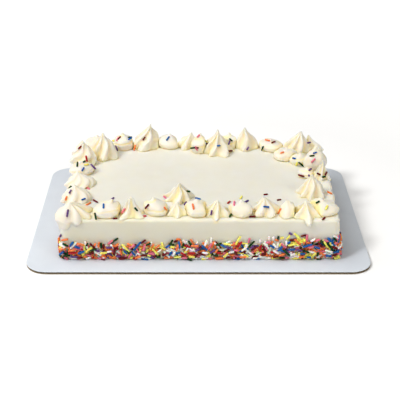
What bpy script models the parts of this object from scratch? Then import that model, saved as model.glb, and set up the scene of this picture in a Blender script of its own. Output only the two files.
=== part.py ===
"""Quarter sheet cake on its board: a frosted block with a piped border and a band of sprinkles.

Metres, +Z up. The origin is the centre of the board's underside and the front of the cake faces -Y.
"""

import math
import random
from typing import NamedTuple

import bmesh
import bpy
from mathutils import Matrix, Vector
from mathutils.bvhtree import BVHTree

MM = 0.001
GAP = 0.3 * MM

# Board: corrugated sheet with rounded corners
BOARD_LENGTH = 356 * MM
BOARD_WIDTH = 254 * MM
BOARD_THICKNESS = 3 * MM
BOARD_CORNER_RADIUS = 23 * MM
BOARD_CORNER_SEGMENTS = 8

# Frosted block
CAKE_LENGTH = 290 * MM
CAKE_WIDTH = 202 * MM
CAKE_HEIGHT = 44 * MM
CAKE_CENTRE = Vector((2 * MM, 0.5 * MM, 0))
CAKE_SIDE_TAPER = 2 * MM
CAKE_CORNER_RADIUS = 9 * MM
CAKE_CORNER_SEGMENTS = 5
CAKE_TOP_RADIUS = 2.7 * MM
CAKE_TOP_SEGMENTS = 3
CAKE_BOTTOM_Z = BOARD_THICKNESS + GAP
CAKE_TOP_Z = BOARD_THICKNESS + CAKE_HEIGHT

# Piped pieces: profiles are (share of the radius, share of the height), from the foot up to the peak
STAR_PROFILE = ((1.0, 0.0), (1.0, 0.17), (0.70, 0.50), (0.27, 0.79), (0.0, 1.0))
FLARED_STAR_PROFILE = ((1.0, 0.0), (0.90, 0.13), (0.56, 0.44), (0.24, 0.77), (0.0, 1.0))
DOLLOP_PROFILE = ((0.82, 0.0), (1.0, 0.26), (0.90, 0.48), (0.47, 0.72), (0.13, 0.89), (0.0, 1.0))
STAR_SIDES_PER_RIDGE = 3
GROOVE_DEPTHS = (0.28, 0.46)
GROOVE_POWER = 0.8
LEAST_SAG = 0.12
HANGING_SMOOTH = 0.9
HANGING_SWELL = 0.13
FOOT_DRAW_IN_PER_MM = 0.014
NEIGHBOUR_REACH = 1.06
DOLLOP_SIDES = 12
DOLLOP_UNEVENNESS = 0.05
TRIMMING_BLOCK = 120 * MM

# Sprinkles: short sugar rods
SPRINKLE_RADIUS = 0.95 * MM
SPRINKLE_SIDES = 5
SPRINKLE_LENGTHS = (6 * MM, 9 * MM)
SPRINKLE_SUNK = 0.25
SPRINKLE_SPACING = 10 * MM
HEADING_RISE = 0.6
BORDER_SPRINKLES = {"star": 1, "dollop": 2}
BORDER_REACHES = (0.35, 0.75)
BORDER_TRIES = 60
BORDER_FOOT_ROOM = 0.8
BAND_HEIGHT = 18 * MM
BAND_RAGGED = 3.5 * MM
BAND_ROWS = 4
BAND_ROW_SHIFT = 0.38
BAND_COLUMN_SHAKE = 0.12
BAND_SPACING = 18 * MM
RANDOM_SEED = 11


class Piped(NamedTuple):
    """One piped piece, in mm and degrees.

    x and y are its centre on the cake's top, lean is how far its peak is pulled aside, turn is where its
    first ridge points, slump is how far its foot sags where it hangs over the cake's edge, and bow is 1 where
    the pull is even from foot to peak and more where only the tip is bent. A star's lobes wind by twist on
    their way up, flare is 1 where they run out in toes and 0 where they bulge, and crisp is how deep the
    grooves between them are, 1 being full depth. A piece with hangs_to sags most in that direction, where
    its side is smooth.
    """

    kind: str
    x: float
    y: float
    radius: float
    height: float
    lean_x: float = 0
    lean_y: float = 0
    turn: float = -90
    slump: float = 2
    ridges: int = 6
    bow: float = 1.7
    twist: float = 20
    flare: float = 0.7
    crisp: float = 1
    hangs_to: float | None = None


FRONT_ROW = (
    Piped("star", -128, -84, 18, 16, -4, -5, turn=-25, slump=15, ridges=7, twist=8, flare=0, hangs_to=-142),
    Piped("dollop", -95, -83, 15, 17, 6, 0),
    Piped("star", -70, -84, 14, 20, 1, 0, turn=-126, ridges=5, flare=1.6),
    Piped("dollop", -44, -79, 13.5, 17, -3, 0),
    Piped("star", -22, -83, 11, 14),
    Piped("star", -21, -47, 16, 18, 1, 0, turn=-96, ridges=7),
    Piped("dollop", -2, -81, 13.5, 16, turn=30),
    Piped("star", 17.5, -82, 14.5, 15, 2, 0, turn=-84, flare=1),
    Piped("dollop", 44, -83, 12.5, 16, turn=60),
    Piped("star", 70, -79, 15, 18, -4, 0, turn=-130, ridges=6, twist=85, flare=0.1, crisp=0.9),
    Piped("star", 93, -83, 12, 17, -3, 0, turn=-110, ridges=5, flare=0, crisp=0.5),
    Piped("star", 112, -84.5, 17, 15, -2, 0, turn=-94, slump=4, flare=1),
    Piped("dollop", 128.5, -78, 15.5, 14, -2, 5, turn=20, slump=4),
)
RIGHT_ROW = (
    Piped("star", 121.5, -38, 15, 24, 0, 0, turn=-100, ridges=7, flare=0.5, crisp=0.85),
    Piped("star", 137, 4, 10.5, 22, 1, 0, flare=1),
    Piped("dollop", 122, 9, 9.5, 11),
    Piped("dollop", 133, 31, 12.5, 28, 1, 0, turn=70),
    Piped("dollop", 118, 46, 12, 12, turn=40),
)
BACK_ROW = (
    Piped("dollop", 103, 60, 14, 13),
    Piped("star", 116, 80, 18, 25, 6, 0, turn=-80, ridges=6, twist=30, flare=0.3),
    Piped("star", 135, 86, 12, 18, -4, 0, turn=-60),
    Piped("dollop", 88, 86, 15, 13, -2, 0),
    Piped("star", 58, 92, 14.5, 25, -2, 0, turn=-92, ridges=5, flare=0.3, crisp=0.8),
    Piped("dollop", 38, 93, 11, 18),
    Piped("star", 22.5, 77, 17, 28, 1, 2, turn=-110, twist=40, flare=0.3, crisp=0.9),
    Piped("dollop", 2.5, 79, 11, 23, 1, 0, turn=50),
    Piped("star", -12, 95, 14, 17, 5, 0, turn=-100, ridges=5, flare=0.2, crisp=0.8),
    Piped("dollop", -35, 94, 13.5, 16, 2, 0),
    Piped("star", -62, 94, 16.5, 29, 7, 0, turn=-95, ridges=5, twist=50, flare=0.1, crisp=0.8),
    Piped("dollop", -88, 90, 13, 19, -1, 0),
    Piped("star", -110, 65, 17.5, 29, turn=-100, twist=70, flare=0.1),
    Piped("dollop", -120, 90, 14, 16, turn=20),
)
LEFT_ROW = (
    Piped("star", -131, 47, 15, 28, -1, 0, turn=-60, ridges=6, twist=110, flare=0, crisp=0.6),
    Piped("dollop", -131, 19, 13.5, 14, -1, 0),
    Piped("star", -130, -13, 14.5, 14, -3, 4, turn=-35, ridges=7, twist=80, flare=0, crisp=0.45),
    Piped("star", -131, -46, 15, 16, -1, 0, turn=-20, ridges=8, twist=40, flare=0, crisp=0.4),
)
BORDER = {"front": FRONT_ROW, "right": RIGHT_ROW, "back": BACK_ROW, "left": LEFT_ROW}


def clear_scene():
    """Remove every object the file opened with."""
    for obj in list(bpy.data.objects):
        bpy.data.objects.remove(obj, do_unlink=True)


def make_material(name, colour, roughness):
    """A Principled material of one colour."""
    material = bpy.data.materials.new(name)
    material.use_nodes = True
    shader = material.node_tree.nodes["Principled BSDF"]
    shader.inputs["Base Color"].default_value = (*colour, 1)
    shader.inputs["Roughness"].default_value = roughness
    shader.inputs["Metallic"].default_value = 0
    return material


def add_object(name, bm, collection, material):
    """Turn a bmesh into a named object with its own material."""
    mesh = bpy.data.meshes.new(name)
    bm.to_mesh(mesh)
    bm.free()
    mesh.materials.append(material)
    obj = bpy.data.objects.new(name, mesh)
    collection.objects.link(obj)
    return obj


def rounded_slab(length, width, height, corner_radius, corner_segments):
    """A box standing on z = 0 with its four upright edges rounded."""
    bm = bmesh.new()
    bmesh.ops.create_cube(bm, size=1)
    bmesh.ops.translate(bm, vec=(0, 0, 0.5), verts=bm.verts)
    bmesh.ops.scale(bm, vec=(length, width, height), verts=bm.verts)
    upright = [e for e in bm.edges if abs(e.verts[0].co.z - e.verts[1].co.z) > height / 2]
    bmesh.ops.bevel(
        bm, geom=upright, offset=corner_radius, offset_type="OFFSET",
        segments=corner_segments, profile=0.5, affect="EDGES",
    )
    return bm


def make_board(collection):
    """The corrugated board: one flat slab with rounded corners."""
    bm = rounded_slab(
        BOARD_LENGTH, BOARD_WIDTH, BOARD_THICKNESS, BOARD_CORNER_RADIUS, BOARD_CORNER_SEGMENTS,
    )
    material = make_material("coated_board", (0.80, 0.81, 0.84), 0.45)
    return add_object("cake_board", bm, collection, material)


def cake_block(grown):
    """The frosted block, grown by a margin all round: narrower at the top, with soft corners and rim."""
    height = CAKE_TOP_Z - CAKE_BOTTOM_Z + grown
    length = CAKE_LENGTH + 2 * grown
    width = CAKE_WIDTH + 2 * grown
    bm = rounded_slab(length, width, height, CAKE_CORNER_RADIUS + grown, CAKE_CORNER_SEGMENTS)
    for vert in bm.verts:
        if vert.co.z > height / 2:
            vert.co.x *= 1 - 2 * CAKE_SIDE_TAPER / length
            vert.co.y *= 1 - 2 * CAKE_SIDE_TAPER / width
    rim = [e for e in bm.edges if all(v.co.z > height / 2 for v in e.verts)]
    bmesh.ops.bevel(
        bm, geom=rim, offset=CAKE_TOP_RADIUS, offset_type="OFFSET",
        segments=CAKE_TOP_SEGMENTS, profile=0.5, affect="EDGES",
    )
    bmesh.ops.translate(bm, vec=CAKE_CENTRE + Vector((0, 0, CAKE_BOTTOM_Z)), verts=bm.verts)
    return bm


def hang_share(piece, angle):
    """How much a side of a piece hangs over the cake's edge, from 0 to 1."""
    if piece.hangs_to is None:
        return 0
    toward = math.cos(angle + math.radians(piece.turn - piece.hangs_to))
    return max(0, toward) ** 2


def foot_sag(piece, angle):
    """How far the foot of a piece sags at an angle round it, in mm."""
    if piece.hangs_to is None:
        return piece.slump
    return piece.slump * (LEAST_SAG + (1 - LEAST_SAG) * hang_share(piece, angle))


def star_ridge(piece, angle, share_z):
    """Share of the radius left at an angle round a star: 1 on a ridge, less in the groove beside it.

    The grooves are shallow at the spreading foot and deepest near the peak.
    """
    at_foot, at_peak = GROOVE_DEPTHS
    hang = hang_share(piece, angle)
    depth = piece.crisp * (at_foot + (at_peak - at_foot) * share_z) * (1 - HANGING_SMOOTH * hang)
    wave = 0.5 + 0.5 * math.cos(piece.ridges * angle)
    return (1 - depth * (1 - wave ** GROOVE_POWER)) * (1 + HANGING_SWELL * hang)


def star_profile(piece):
    """(share of the radius, share of the height) of each ring of a star, between bulging and flared."""
    return [
        (full_r + (flared_r - full_r) * piece.flare, full_z + (flared_z - full_z) * piece.flare)
        for (full_r, full_z), (flared_r, flared_z) in zip(STAR_PROFILE, FLARED_STAR_PROFILE)
    ]


def dollop_swell(angle):
    """Share of the radius at an angle round a dollop, which is never quite round."""
    return 1 + DOLLOP_UNEVENNESS * math.cos(2 * angle)


def piped_mesh(piece):
    """A star or a dollop: a sphere whose rings are moved onto the piece's profile.

    Its foot starts below the cake's top, where trim then cuts it to the block's shape.
    """
    is_star = piece.kind == "star"
    profile = star_profile(piece) if is_star else DOLLOP_PROFILE
    sides = piece.ridges * STAR_SIDES_PER_RIDGE if is_star else DOLLOP_SIDES
    twist = math.radians(piece.twist) if is_star else 0
    rings = len(profile)
    bm = bmesh.new()
    bmesh.ops.create_uvsphere(bm, u_segments=sides, v_segments=rings, radius=1)
    for vert in bm.verts:
        level = rings - round(math.acos(max(-1, min(1, vert.co.z))) * rings / math.pi)
        share_r, share_z = profile[level - 1] if level else (0, 0)
        angle = math.atan2(vert.co.y, vert.co.x)
        share_r *= star_ridge(piece, angle, share_z) if is_star else dollop_swell(angle)
        if level == 1:
            share_r *= 1 - FOOT_DRAW_IN_PER_MM * foot_sag(piece, angle)
        turn = angle + math.radians(piece.turn) + twist * share_z
        radius = piece.radius * MM * share_r
        lean = share_z ** piece.bow
        vert.co.x = piece.x * MM + radius * math.cos(turn) + piece.lean_x * MM * lean
        vert.co.y = piece.y * MM + radius * math.sin(turn) + piece.lean_y * MM * lean
        vert.co.z = CAKE_TOP_Z + (piece.height * share_z if level > 1 else -foot_sag(piece, angle)) * MM
    return bm


def facing_planes(piece, pieces):
    """Upright planes where a piece meets its neighbours, as (point, outward direction)."""
    planes = []
    for other in pieces:
        between = Vector((other.x - piece.x, other.y - piece.y, 0)) * MM
        distance = between.length
        reach = piece.radius * MM
        other_reach = other.radius * MM
        if other is piece or distance > (reach + other_reach) * NEIGHBOUR_REACH:
            continue
        along = (distance ** 2 + reach ** 2 - other_reach ** 2) / (2 * distance)
        outward = between.normalized()
        point = Vector((piece.x, piece.y, 0)) * MM + outward * (along - GAP / 2)
        planes.append((point, outward))
    return planes


def make_clearance(cutters):
    """The block grown by the gap, which cuts the feet of the piped pieces to the shape they lie on."""
    cutter = add_object("cake_clearance", cake_block(GAP), cutters, make_material("clearance", (1, 0, 0), 1))
    cutter.hide_render = True
    cutter.display_type = "WIRE"


def add_trimming_block(point, outward, cutters):
    """A large block that takes away everything beyond an upright plane."""
    bm = bmesh.new()
    turn = Matrix.Rotation(math.atan2(outward.y, outward.x), 4, "Z")
    middle = Matrix.Translation(point + outward * TRIMMING_BLOCK / 2 + Vector((0, 0, CAKE_TOP_Z)))
    bmesh.ops.create_cube(bm, size=TRIMMING_BLOCK, matrix=middle @ turn)
    mesh = bpy.data.meshes.new("trimming_block")
    bm.to_mesh(mesh)
    bm.free()
    cutters.objects.link(bpy.data.objects.new("trimming_block", mesh))


def apply_boolean(obj, operation, collection):
    """Join a whole collection to an object, or take it away, in one step."""
    modifier = obj.modifiers.new(operation.lower(), "BOOLEAN")
    modifier.operation = operation
    modifier.operand_type = "COLLECTION"
    modifier.collection = collection
    modifier.solver = "EXACT"
    bpy.context.view_layer.objects.active = obj
    bpy.ops.object.modifier_apply(modifier=modifier.name)


def remove_named(collection, name):
    """Remove the objects of a collection whose names begin alike."""
    for obj in [o for o in collection.objects if o.name.startswith(name)]:
        bpy.data.objects.remove(obj, do_unlink=True)


def trim(obj, planes, cutters):
    """Cut a piped piece flat where it meets its neighbours, and hollow its foot to fit the block."""
    for point, outward in planes:
        add_trimming_block(point, outward, cutters)
    apply_boolean(obj, "DIFFERENCE", cutters)
    remove_named(cutters, "trimming_block")


def sprinkle(location, normal, heading, length, collection):
    """One rod lying along the surface, sunk a little into it."""
    out = normal.normalized()
    along = (heading - out * heading.dot(out)).normalized()
    side = out.cross(along)
    turn = Matrix((side, out, along)).transposed().to_4x4()
    centre = location + out * SPRINKLE_RADIUS * (1 - 2 * SPRINKLE_SUNK)
    bm = bmesh.new()
    bmesh.ops.create_cone(
        bm, cap_ends=True, segments=SPRINKLE_SIDES, radius1=SPRINKLE_RADIUS, radius2=SPRINKLE_RADIUS,
        depth=length, matrix=Matrix.Translation(centre) @ turn,
    )
    mesh = bpy.data.meshes.new("sprinkle")
    bm.to_mesh(mesh)
    bm.free()
    obj = bpy.data.objects.new("sprinkle", mesh)
    collection.objects.link(obj)


def fuse(obj, loose):
    """Join the loose rods to an object, then remove them."""
    apply_boolean(obj, "UNION", loose)
    remove_named(loose, "sprinkle")


def random_heading(rng):
    """A direction that is as likely to point any way."""
    angle = rng.uniform(0, 2 * math.pi)
    return Vector((math.cos(angle), math.sin(angle), rng.uniform(-HEADING_RISE, HEADING_RISE)))


def sprinkle_piece(obj, piece, planes, rng, loose):
    """Lay rods on the upper side of a piped piece, clear of its neighbours, and fuse them."""
    tree = BVHTree.FromObject(obj, bpy.context.evaluated_depsgraph_get())
    taken = []
    for _ in range(BORDER_TRIES):
        if len(taken) == BORDER_SPRINKLES[piece.kind]:
            break
        angle = rng.uniform(0, 2 * math.pi)
        reach = rng.uniform(*BORDER_REACHES) * piece.radius * MM
        spot = Vector((piece.x * MM + reach * math.cos(angle), piece.y * MM + reach * math.sin(angle), 1))
        location, normal, _, _ = tree.ray_cast(spot, Vector((0, 0, -1)))
        length = rng.uniform(*SPRINKLE_LENGTHS)
        heading = random_heading(rng)
        room = length / 2 + SPRINKLE_RADIUS + GAP
        if location is None or location.z < CAKE_TOP_Z + room * BORDER_FOOT_ROOM:
            continue
        if any((location - point).dot(outward) > -room for point, outward in planes):
            continue
        if any((location - other).length < SPRINKLE_SPACING for other in taken):
            continue
        taken.append(location)
        sprinkle(location, normal, heading, length, loose)
    fuse(obj, loose)


def make_border(collection, material, cutters, loose, rng):
    """Every star and dollop of the border, each trimmed where it meets the next and the cake."""
    pieces = [piece for row in BORDER.values() for piece in row]
    for side, row in BORDER.items():
        for number, piece in enumerate(row, start=1):
            planes = facing_planes(piece, pieces)
            name = f"{side}_{piece.kind}_{number:02d}"
            obj = add_object(name, piped_mesh(piece), collection, material)
            trim(obj, planes, cutters)
            sprinkle_piece(obj, piece, planes, rng, loose)


def round_the_side(distance):
    """A point on the foot of the block's side, so far round it from the front left, and the way out."""
    half_x = CAKE_LENGTH / 2 - CAKE_CORNER_RADIUS
    half_y = CAKE_WIDTH / 2 - CAKE_CORNER_RADIUS
    corner = CAKE_CORNER_RADIUS * math.pi / 2
    heading = -90
    for x, y, straight in (
        (half_x, -half_y, 2 * half_x), (half_x, half_y, 2 * half_y),
        (-half_x, half_y, 2 * half_x), (-half_x, -half_y, 2 * half_y),
    ):
        short = min(0.0, distance - straight)
        turned = heading + 90 * max(0.0, min(1.0, (distance - straight) / corner))
        outward = Vector((math.cos(math.radians(turned)), math.sin(math.radians(turned)), 0))
        if distance <= straight + corner:
            along = Vector((-outward.y, outward.x, 0))
            return CAKE_CENTRE + Vector((x, y, 0)) + outward * CAKE_CORNER_RADIUS + along * short, outward
        distance -= straight + corner
        heading += 90
    return round_the_side(distance)


def drawn_in(point, rise):
    """The same point of the side at a height above the block's foot, where the taper has drawn it in."""
    share = 2 * CAKE_SIDE_TAPER * rise / (CAKE_TOP_Z - CAKE_BOTTOM_Z)
    offset = point - CAKE_CENTRE
    offset.x *= 1 - share / CAKE_LENGTH
    offset.y *= 1 - share / CAKE_WIDTH
    return CAKE_CENTRE + offset + Vector((0, 0, CAKE_BOTTOM_Z + rise))


def sprinkle_band(cake, loose, rng):
    """Fuse the ragged band of rods to the lower sides: an even grid of places, shaken a little."""
    around = 2 * (CAKE_LENGTH + CAKE_WIDTH) - (8 - 2 * math.pi) * CAKE_CORNER_RADIUS
    columns = round(around / BAND_SPACING)
    lowest = CAKE_BOTTOM_Z + SPRINKLE_RADIUS + GAP
    for row in range(BAND_ROWS):
        for column in range(columns):
            shake = rng.uniform(-BAND_COLUMN_SHAKE, BAND_COLUMN_SHAKE)
            station = column + row * BAND_ROW_SHIFT + shake
            point, outward = round_the_side(station % columns * around / columns)
            rise = BAND_HEIGHT * (row + 0.5) / BAND_ROWS + rng.uniform(-1, 1) * BAND_RAGGED * row / BAND_ROWS
            point = drawn_in(point, rise)
            length = rng.uniform(*SPRINKLE_LENGTHS)
            steepest = math.asin(max(0.0, min(1.0, 2 * (point.z - lowest) / length)))
            slope = rng.uniform(-1, 1) * steepest
            along = Vector((-outward.y, outward.x, 0))
            heading = along * math.cos(slope) + Vector((0, 0, 1)) * math.sin(slope)
            sprinkle(point, outward, heading, length, loose)
    fuse(cake, loose)


def main():
    """Build the cake on its board."""
    clear_scene()
    rng = random.Random(RANDOM_SEED)
    parts, cutters, loose = (
        bpy.data.collections.new(name) for name in ("sheet_cake", "cutters", "loose_sprinkles")
    )
    for collection in (parts, cutters, loose):
        bpy.context.scene.collection.children.link(collection)
    frosting = make_material("frosting", (0.87, 0.81, 0.70), 0.5)
    piped_frosting = make_material("piped_frosting", (0.90, 0.86, 0.74), 0.5)
    make_board(parts)
    cake = add_object("cake", cake_block(0), parts, frosting)
    sprinkle_band(cake, loose, rng)
    make_clearance(cutters)
    make_border(parts, piped_frosting, cutters, loose, rng)


main()
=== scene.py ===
"""Looks of the sheet cake: frosting, piped border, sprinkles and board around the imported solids.

Metres, +Z up. The front of the cake faces -Y. Values in mm or degrees say so.
"""

import math
import random
from typing import NamedTuple

import bmesh
import bpy
import numpy as np
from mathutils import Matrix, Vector, noise
from mathutils.bvhtree import BVHTree


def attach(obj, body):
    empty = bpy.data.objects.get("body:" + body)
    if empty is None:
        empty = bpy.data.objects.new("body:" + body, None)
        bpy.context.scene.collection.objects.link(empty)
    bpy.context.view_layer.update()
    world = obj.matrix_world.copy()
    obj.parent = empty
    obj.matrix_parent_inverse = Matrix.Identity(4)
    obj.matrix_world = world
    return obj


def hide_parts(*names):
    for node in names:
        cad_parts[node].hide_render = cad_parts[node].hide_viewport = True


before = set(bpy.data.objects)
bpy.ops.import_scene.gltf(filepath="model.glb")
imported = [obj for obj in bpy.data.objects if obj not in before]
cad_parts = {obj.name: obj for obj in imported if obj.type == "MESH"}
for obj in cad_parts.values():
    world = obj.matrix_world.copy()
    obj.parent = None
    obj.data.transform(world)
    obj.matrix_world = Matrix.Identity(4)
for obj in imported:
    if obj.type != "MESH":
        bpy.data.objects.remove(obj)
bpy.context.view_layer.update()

MM = 0.001

# Camera, fitted to the board's edges in the photograph
PHOTO_PIXELS = 400
FOCAL_PIXELS = 963.26
OPTICAL_AXIS_PIXEL = (190.17, 200.33)
CAMERA_PLACE = Vector((-8.72, -968.94, 504.22)) * MM
CAMERA_PITCH = math.radians(26.515)
SENSOR_MM = 36

# Board: outline steps are those along its two kinds of side and round a corner
BOARD_LENGTH = 356 * MM
BOARD_WIDTH = 254 * MM
BOARD_THICKNESS = 3 * MM
BOARD_CORNER_RADIUS = 23 * MM
BOARD_OUTLINE_STEPS = ((40, 60), 24)
LINER = 0.42 * MM
FLUTE_PITCH = 6.4 * MM
FLUTE_SHEET = 0.32 * MM
FLUTE_STEPS = 12
LINER_DROP = 0.28 * MM
LINER_DROP_WIDTH = 1.6 * MM
LINER_DROP_STEPS = (0.2, 0.45, 0.7, 1.0)
FLUTES_INSET = 0.5 * MM
COATED_DARK = (0.655, 0.700, 0.760)
COATED_LIGHT = (0.679, 0.725, 0.785)
KRAFT_DARK = (0.23, 0.175, 0.11)
KRAFT_LIGHT = (0.42, 0.34, 0.235)

# Frosted block: waves are (how high, how wide)
CAKE_LENGTH = 290 * MM
CAKE_WIDTH = 202 * MM
CAKE_CENTRE = Vector((2 * MM, 0.5 * MM, 0))
CAKE_SIDE_TAPER = 2 * MM
CAKE_CORNER_RADIUS = 9 * MM
CAKE_RIM_RADIUS = 2.7 * MM
CAKE_BOTTOM_Z = 3.3 * MM
CAKE_TOP_Z = 47 * MM
BLOCK_STEP = 1.6 * MM
BLOCK_SIDE_ROWS = 26
BLOCK_RIM_ROWS = 7
BLOCK_OUTLINE_STEPS = ((90, 130), 9)
CAKE_LEAST_CORNER = 0.8 * MM
TOP_WAVES = (0.28 * MM, 46 * MM)
TOP_RIPPLES = (0.07 * MM, 9 * MM)
SIDE_WAVES = (0.30 * MM, 22 * MM)
SIDE_STROKES = (0.16 * MM, 5 * MM)
STROKE_STRETCH = (0.12, 0.12, 1)
RIM_WAVES = (0.45 * MM, 13 * MM)
RIM_REACH = 3 * MM
RIM_DEEP = 2 * MM
FOOT_STILL = 3 * MM

# Piped pieces: profiles are (share of the radius, share of the height), from under the foot to the peak
STAR_PROFILE = (
    (0.88, -0.10), (1.0, 0.04), (1.0, 0.17), (0.89, 0.33), (0.69, 0.50), (0.44, 0.65), (0.23, 0.78),
    (0.115, 0.88), (0.06, 0.95), (0.0, 1.0),
)
FLARED_PROFILE = (
    (0.90, -0.10), (1.0, 0.02), (0.94, 0.10), (0.80, 0.22), (0.63, 0.38), (0.46, 0.54), (0.31, 0.70),
    (0.18, 0.84), (0.09, 0.94), (0.0, 1.0),
)
DOLLOP_PROFILE = (
    (0.79, -0.10), (0.88, 0.02), (0.97, 0.13), (1.0, 0.27), (0.95, 0.44), (0.80, 0.58), (0.54, 0.70),
    (0.29, 0.79), (0.14, 0.89), (0.07, 0.96), (0.0, 1.0),
)
PIPED_RINGS = 40
STAR_FULLER = 1.08
PIPED_PRESSED = 1.1 * MM
WARP_REACH = 2.3 * MM
WARP_SCALE = 13 * MM
WARP_SEED = 8
WARP_AXIS_STEP = 0.37
WARP_BY_AXIS = (1, 1, 0.45)
WARP_HEIGHTS = (0, 0.25, 1)
WARP_SHARES = (0.4, 1, 1)
NEIGHBOUR_REACH = 1.06
SINK_DEEP = 10
HANG_REACH = 7 * MM
HANG_DROP = 0.5
HANG_FULL_SLUMP = 8
TWIST_VARIES = (0.5, 1.5)
WOBBLE = (0.42 * MM, 7.5 * MM)
FINE_WOBBLE = (0.11 * MM, 2.4 * MM)
WOBBLE_HEIGHTS = (-0.1, 0, 0.75, 1)
WOBBLE_SHARES = (0, 1, 1, 0.15)

# Shares of painted golden shade between piped pieces, in their grooves and folds, at their feet and on the
# block, and of painted shade on its sides
TOUCH_SHADE = 0.85
TOUCH_REACH = 1.6 * MM
FOOT_SHADE = 0.75
FOOT_REACH = 1.5 * MM
GROOVE_SHADE = 0.85
SHADE_HEIGHTS = (0.0, 0.25, 0.7, 1.0)
SHADE_SHARES = (0.9, 1.0, 0.7, 0.1)
FOLD_SHADE = 0.8
BLOCK_SHADE = 0.6
SIDE_SHADE = 0.85
SIDE_STARTS = 0.985
SIDE_FADES = 0.22
LEFT_FADES = 1.5

# Stars: depths are shares of the radius, and lobe unevenness is a share of the step between lobes
STAR_SAMPLES = 156
LOBE_UNEVEN = 0.18
LOBE_REACH = (0.90, 1.08)
LOBE_TILT = 0.26
GROOVE_SOFT = 0.16
GROOVE_CUT = (0.7, 1.0)
LEAST_SAG = 0.12
HANGING_SMOOTH = 0.9
HANGING_SWELL = 0.13
GROOVE_HEIGHTS = (-0.1, 0.1, 0.45, 0.8, 1.0)
GROOVE_DEPTHS = (0.28, 0.32, 0.42, 0.46, 0.30)
GROOVE_POWERS = (1.5, 1.6, 2.0, 2.4, 2.4)
FLARED_SHARPER = 1.3
FLARED_DEEPER = 0.22
TOE_SWELL = 0.07
TOE_HEIGHT = 0.14
TILT_PIVOT = 0.4

# Dollops: a coil of frosting winds up to the peak, more or less marked
DOLLOP_SAMPLES = 96
COIL_TURNS = 3
COIL_END = 2.1
COIL_MARKED = (0.15, 0.5, 0.9)
COIL_LOW = (0.05, 0.25)
COIL_PITCH = (0.34, 0.46)
COIL_FADES_IN = 0.3
COIL_FADES_OUT = 0.5
FOLD_DEPTH = 0.065
FOLD_WIDTH = 0.045
FOLD_SWELL = 0.035
FOLD_SWELL_BELOW = 0.11
FOLD_SWELL_WIDTH = 0.08
DOLLOP_OVAL = (0.03, 0.08)
LUMP_SWELL = 0.08
LUMP_SCALE = 0.95
LUMP_FLATTER = 1.4

RANDOM_SEED = 7


class Piped(NamedTuple):
    """One piped piece, in mm and degrees.

    x and y are its centre on the cake's top, lean is how far its peak is pulled aside, turn is where its
    first ridge points, slump is how far its foot sags where it hangs over the cake's edge, and bow is 1 where
    the pull is even from foot to peak and more where only the tip is bent. A star's lobes wind by twist on
    their way up, flare is 1 where they run out in toes and 0 where they bulge, and crisp is how deep the
    grooves between them are, 1 being full depth. A piece with hangs_to sags most in that direction, where
    its side is smooth.
    """

    kind: str
    x: float
    y: float
    radius: float
    height: float
    lean_x: float = 0
    lean_y: float = 0
    turn: float = -90
    slump: float = 2
    ridges: int = 6
    bow: float = 1.7
    twist: float = 20
    flare: float = 0.7
    crisp: float = 1
    hangs_to: float | None = None


FRONT_ROW = (
    Piped("star", -128, -84, 18, 16, -4, -5, turn=-25, slump=15, ridges=7, twist=8, flare=0, hangs_to=-142),
    Piped("dollop", -95, -83, 15, 17, 6, 0),
    Piped("star", -70, -84, 14, 20, 1, 0, turn=-126, ridges=5, flare=1.6),
    Piped("dollop", -44, -79, 13.5, 17, -3, 0),
    Piped("star", -22, -83, 11, 14),
    Piped("star", -21, -47, 16, 18, 1, 0, turn=-96, ridges=7),
    Piped("dollop", -2, -81, 13.5, 16, turn=30),
    Piped("star", 17.5, -82, 14.5, 15, 2, 0, turn=-84, flare=1),
    Piped("dollop", 44, -83, 12.5, 16, turn=60),
    Piped("star", 70, -79, 15, 18, -4, 0, turn=-130, ridges=6, twist=85, flare=0.1, crisp=0.9),
    Piped("star", 93, -83, 12, 17, -3, 0, turn=-110, ridges=5, flare=0, crisp=0.5),
    Piped("star", 112, -84.5, 17, 15, -2, 0, turn=-94, slump=4, flare=1),
    Piped("dollop", 128.5, -78, 15.5, 14, -2, 5, turn=20, slump=4),
)
RIGHT_ROW = (
    Piped("star", 121.5, -38, 15, 24, 0, 0, turn=-100, ridges=7, flare=0.5, crisp=0.85),
    Piped("star", 137, 4, 10.5, 22, 1, 0, flare=1),
    Piped("dollop", 122, 9, 9.5, 11),
    Piped("dollop", 133, 31, 12.5, 28, 1, 0, turn=70),
    Piped("dollop", 118, 46, 12, 12, turn=40),
)
BACK_ROW = (
    Piped("dollop", 103, 60, 14, 13),
    Piped("star", 116, 80, 18, 25, 6, 0, turn=-80, ridges=6, twist=30, flare=0.3),
    Piped("star", 135, 86, 12, 18, -4, 0, turn=-60),
    Piped("dollop", 88, 86, 15, 13, -2, 0),
    Piped("star", 58, 92, 14.5, 25, -2, 0, turn=-92, ridges=5, flare=0.3, crisp=0.8),
    Piped("dollop", 38, 93, 11, 18),
    Piped("star", 22.5, 77, 17, 28, 1, 2, turn=-110, twist=40, flare=0.3, crisp=0.9),
    Piped("dollop", 2.5, 79, 11, 23, 1, 0, turn=50),
    Piped("star", -12, 95, 14, 17, 5, 0, turn=-100, ridges=5, flare=0.2, crisp=0.8),
    Piped("dollop", -35, 94, 13.5, 16, 2, 0),
    Piped("star", -62, 94, 16.5, 29, 7, 0, turn=-95, ridges=5, twist=50, flare=0.1, crisp=0.8),
    Piped("dollop", -88, 90, 13, 19, -1, 0),
    Piped("star", -110, 65, 17.5, 29, turn=-100, twist=70, flare=0.1),
    Piped("dollop", -120, 90, 14, 16, turn=20),
)
LEFT_ROW = (
    Piped("star", -131, 47, 15, 28, -1, 0, turn=-60, ridges=6, twist=110, flare=0, crisp=0.6),
    Piped("dollop", -131, 19, 13.5, 14, -1, 0),
    Piped("star", -130, -13, 14.5, 14, -3, 4, turn=-35, ridges=7, twist=80, flare=0, crisp=0.45),
    Piped("star", -131, -46, 15, 16, -1, 0, turn=-20, ridges=8, twist=40, flare=0, crisp=0.4),
)
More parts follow.
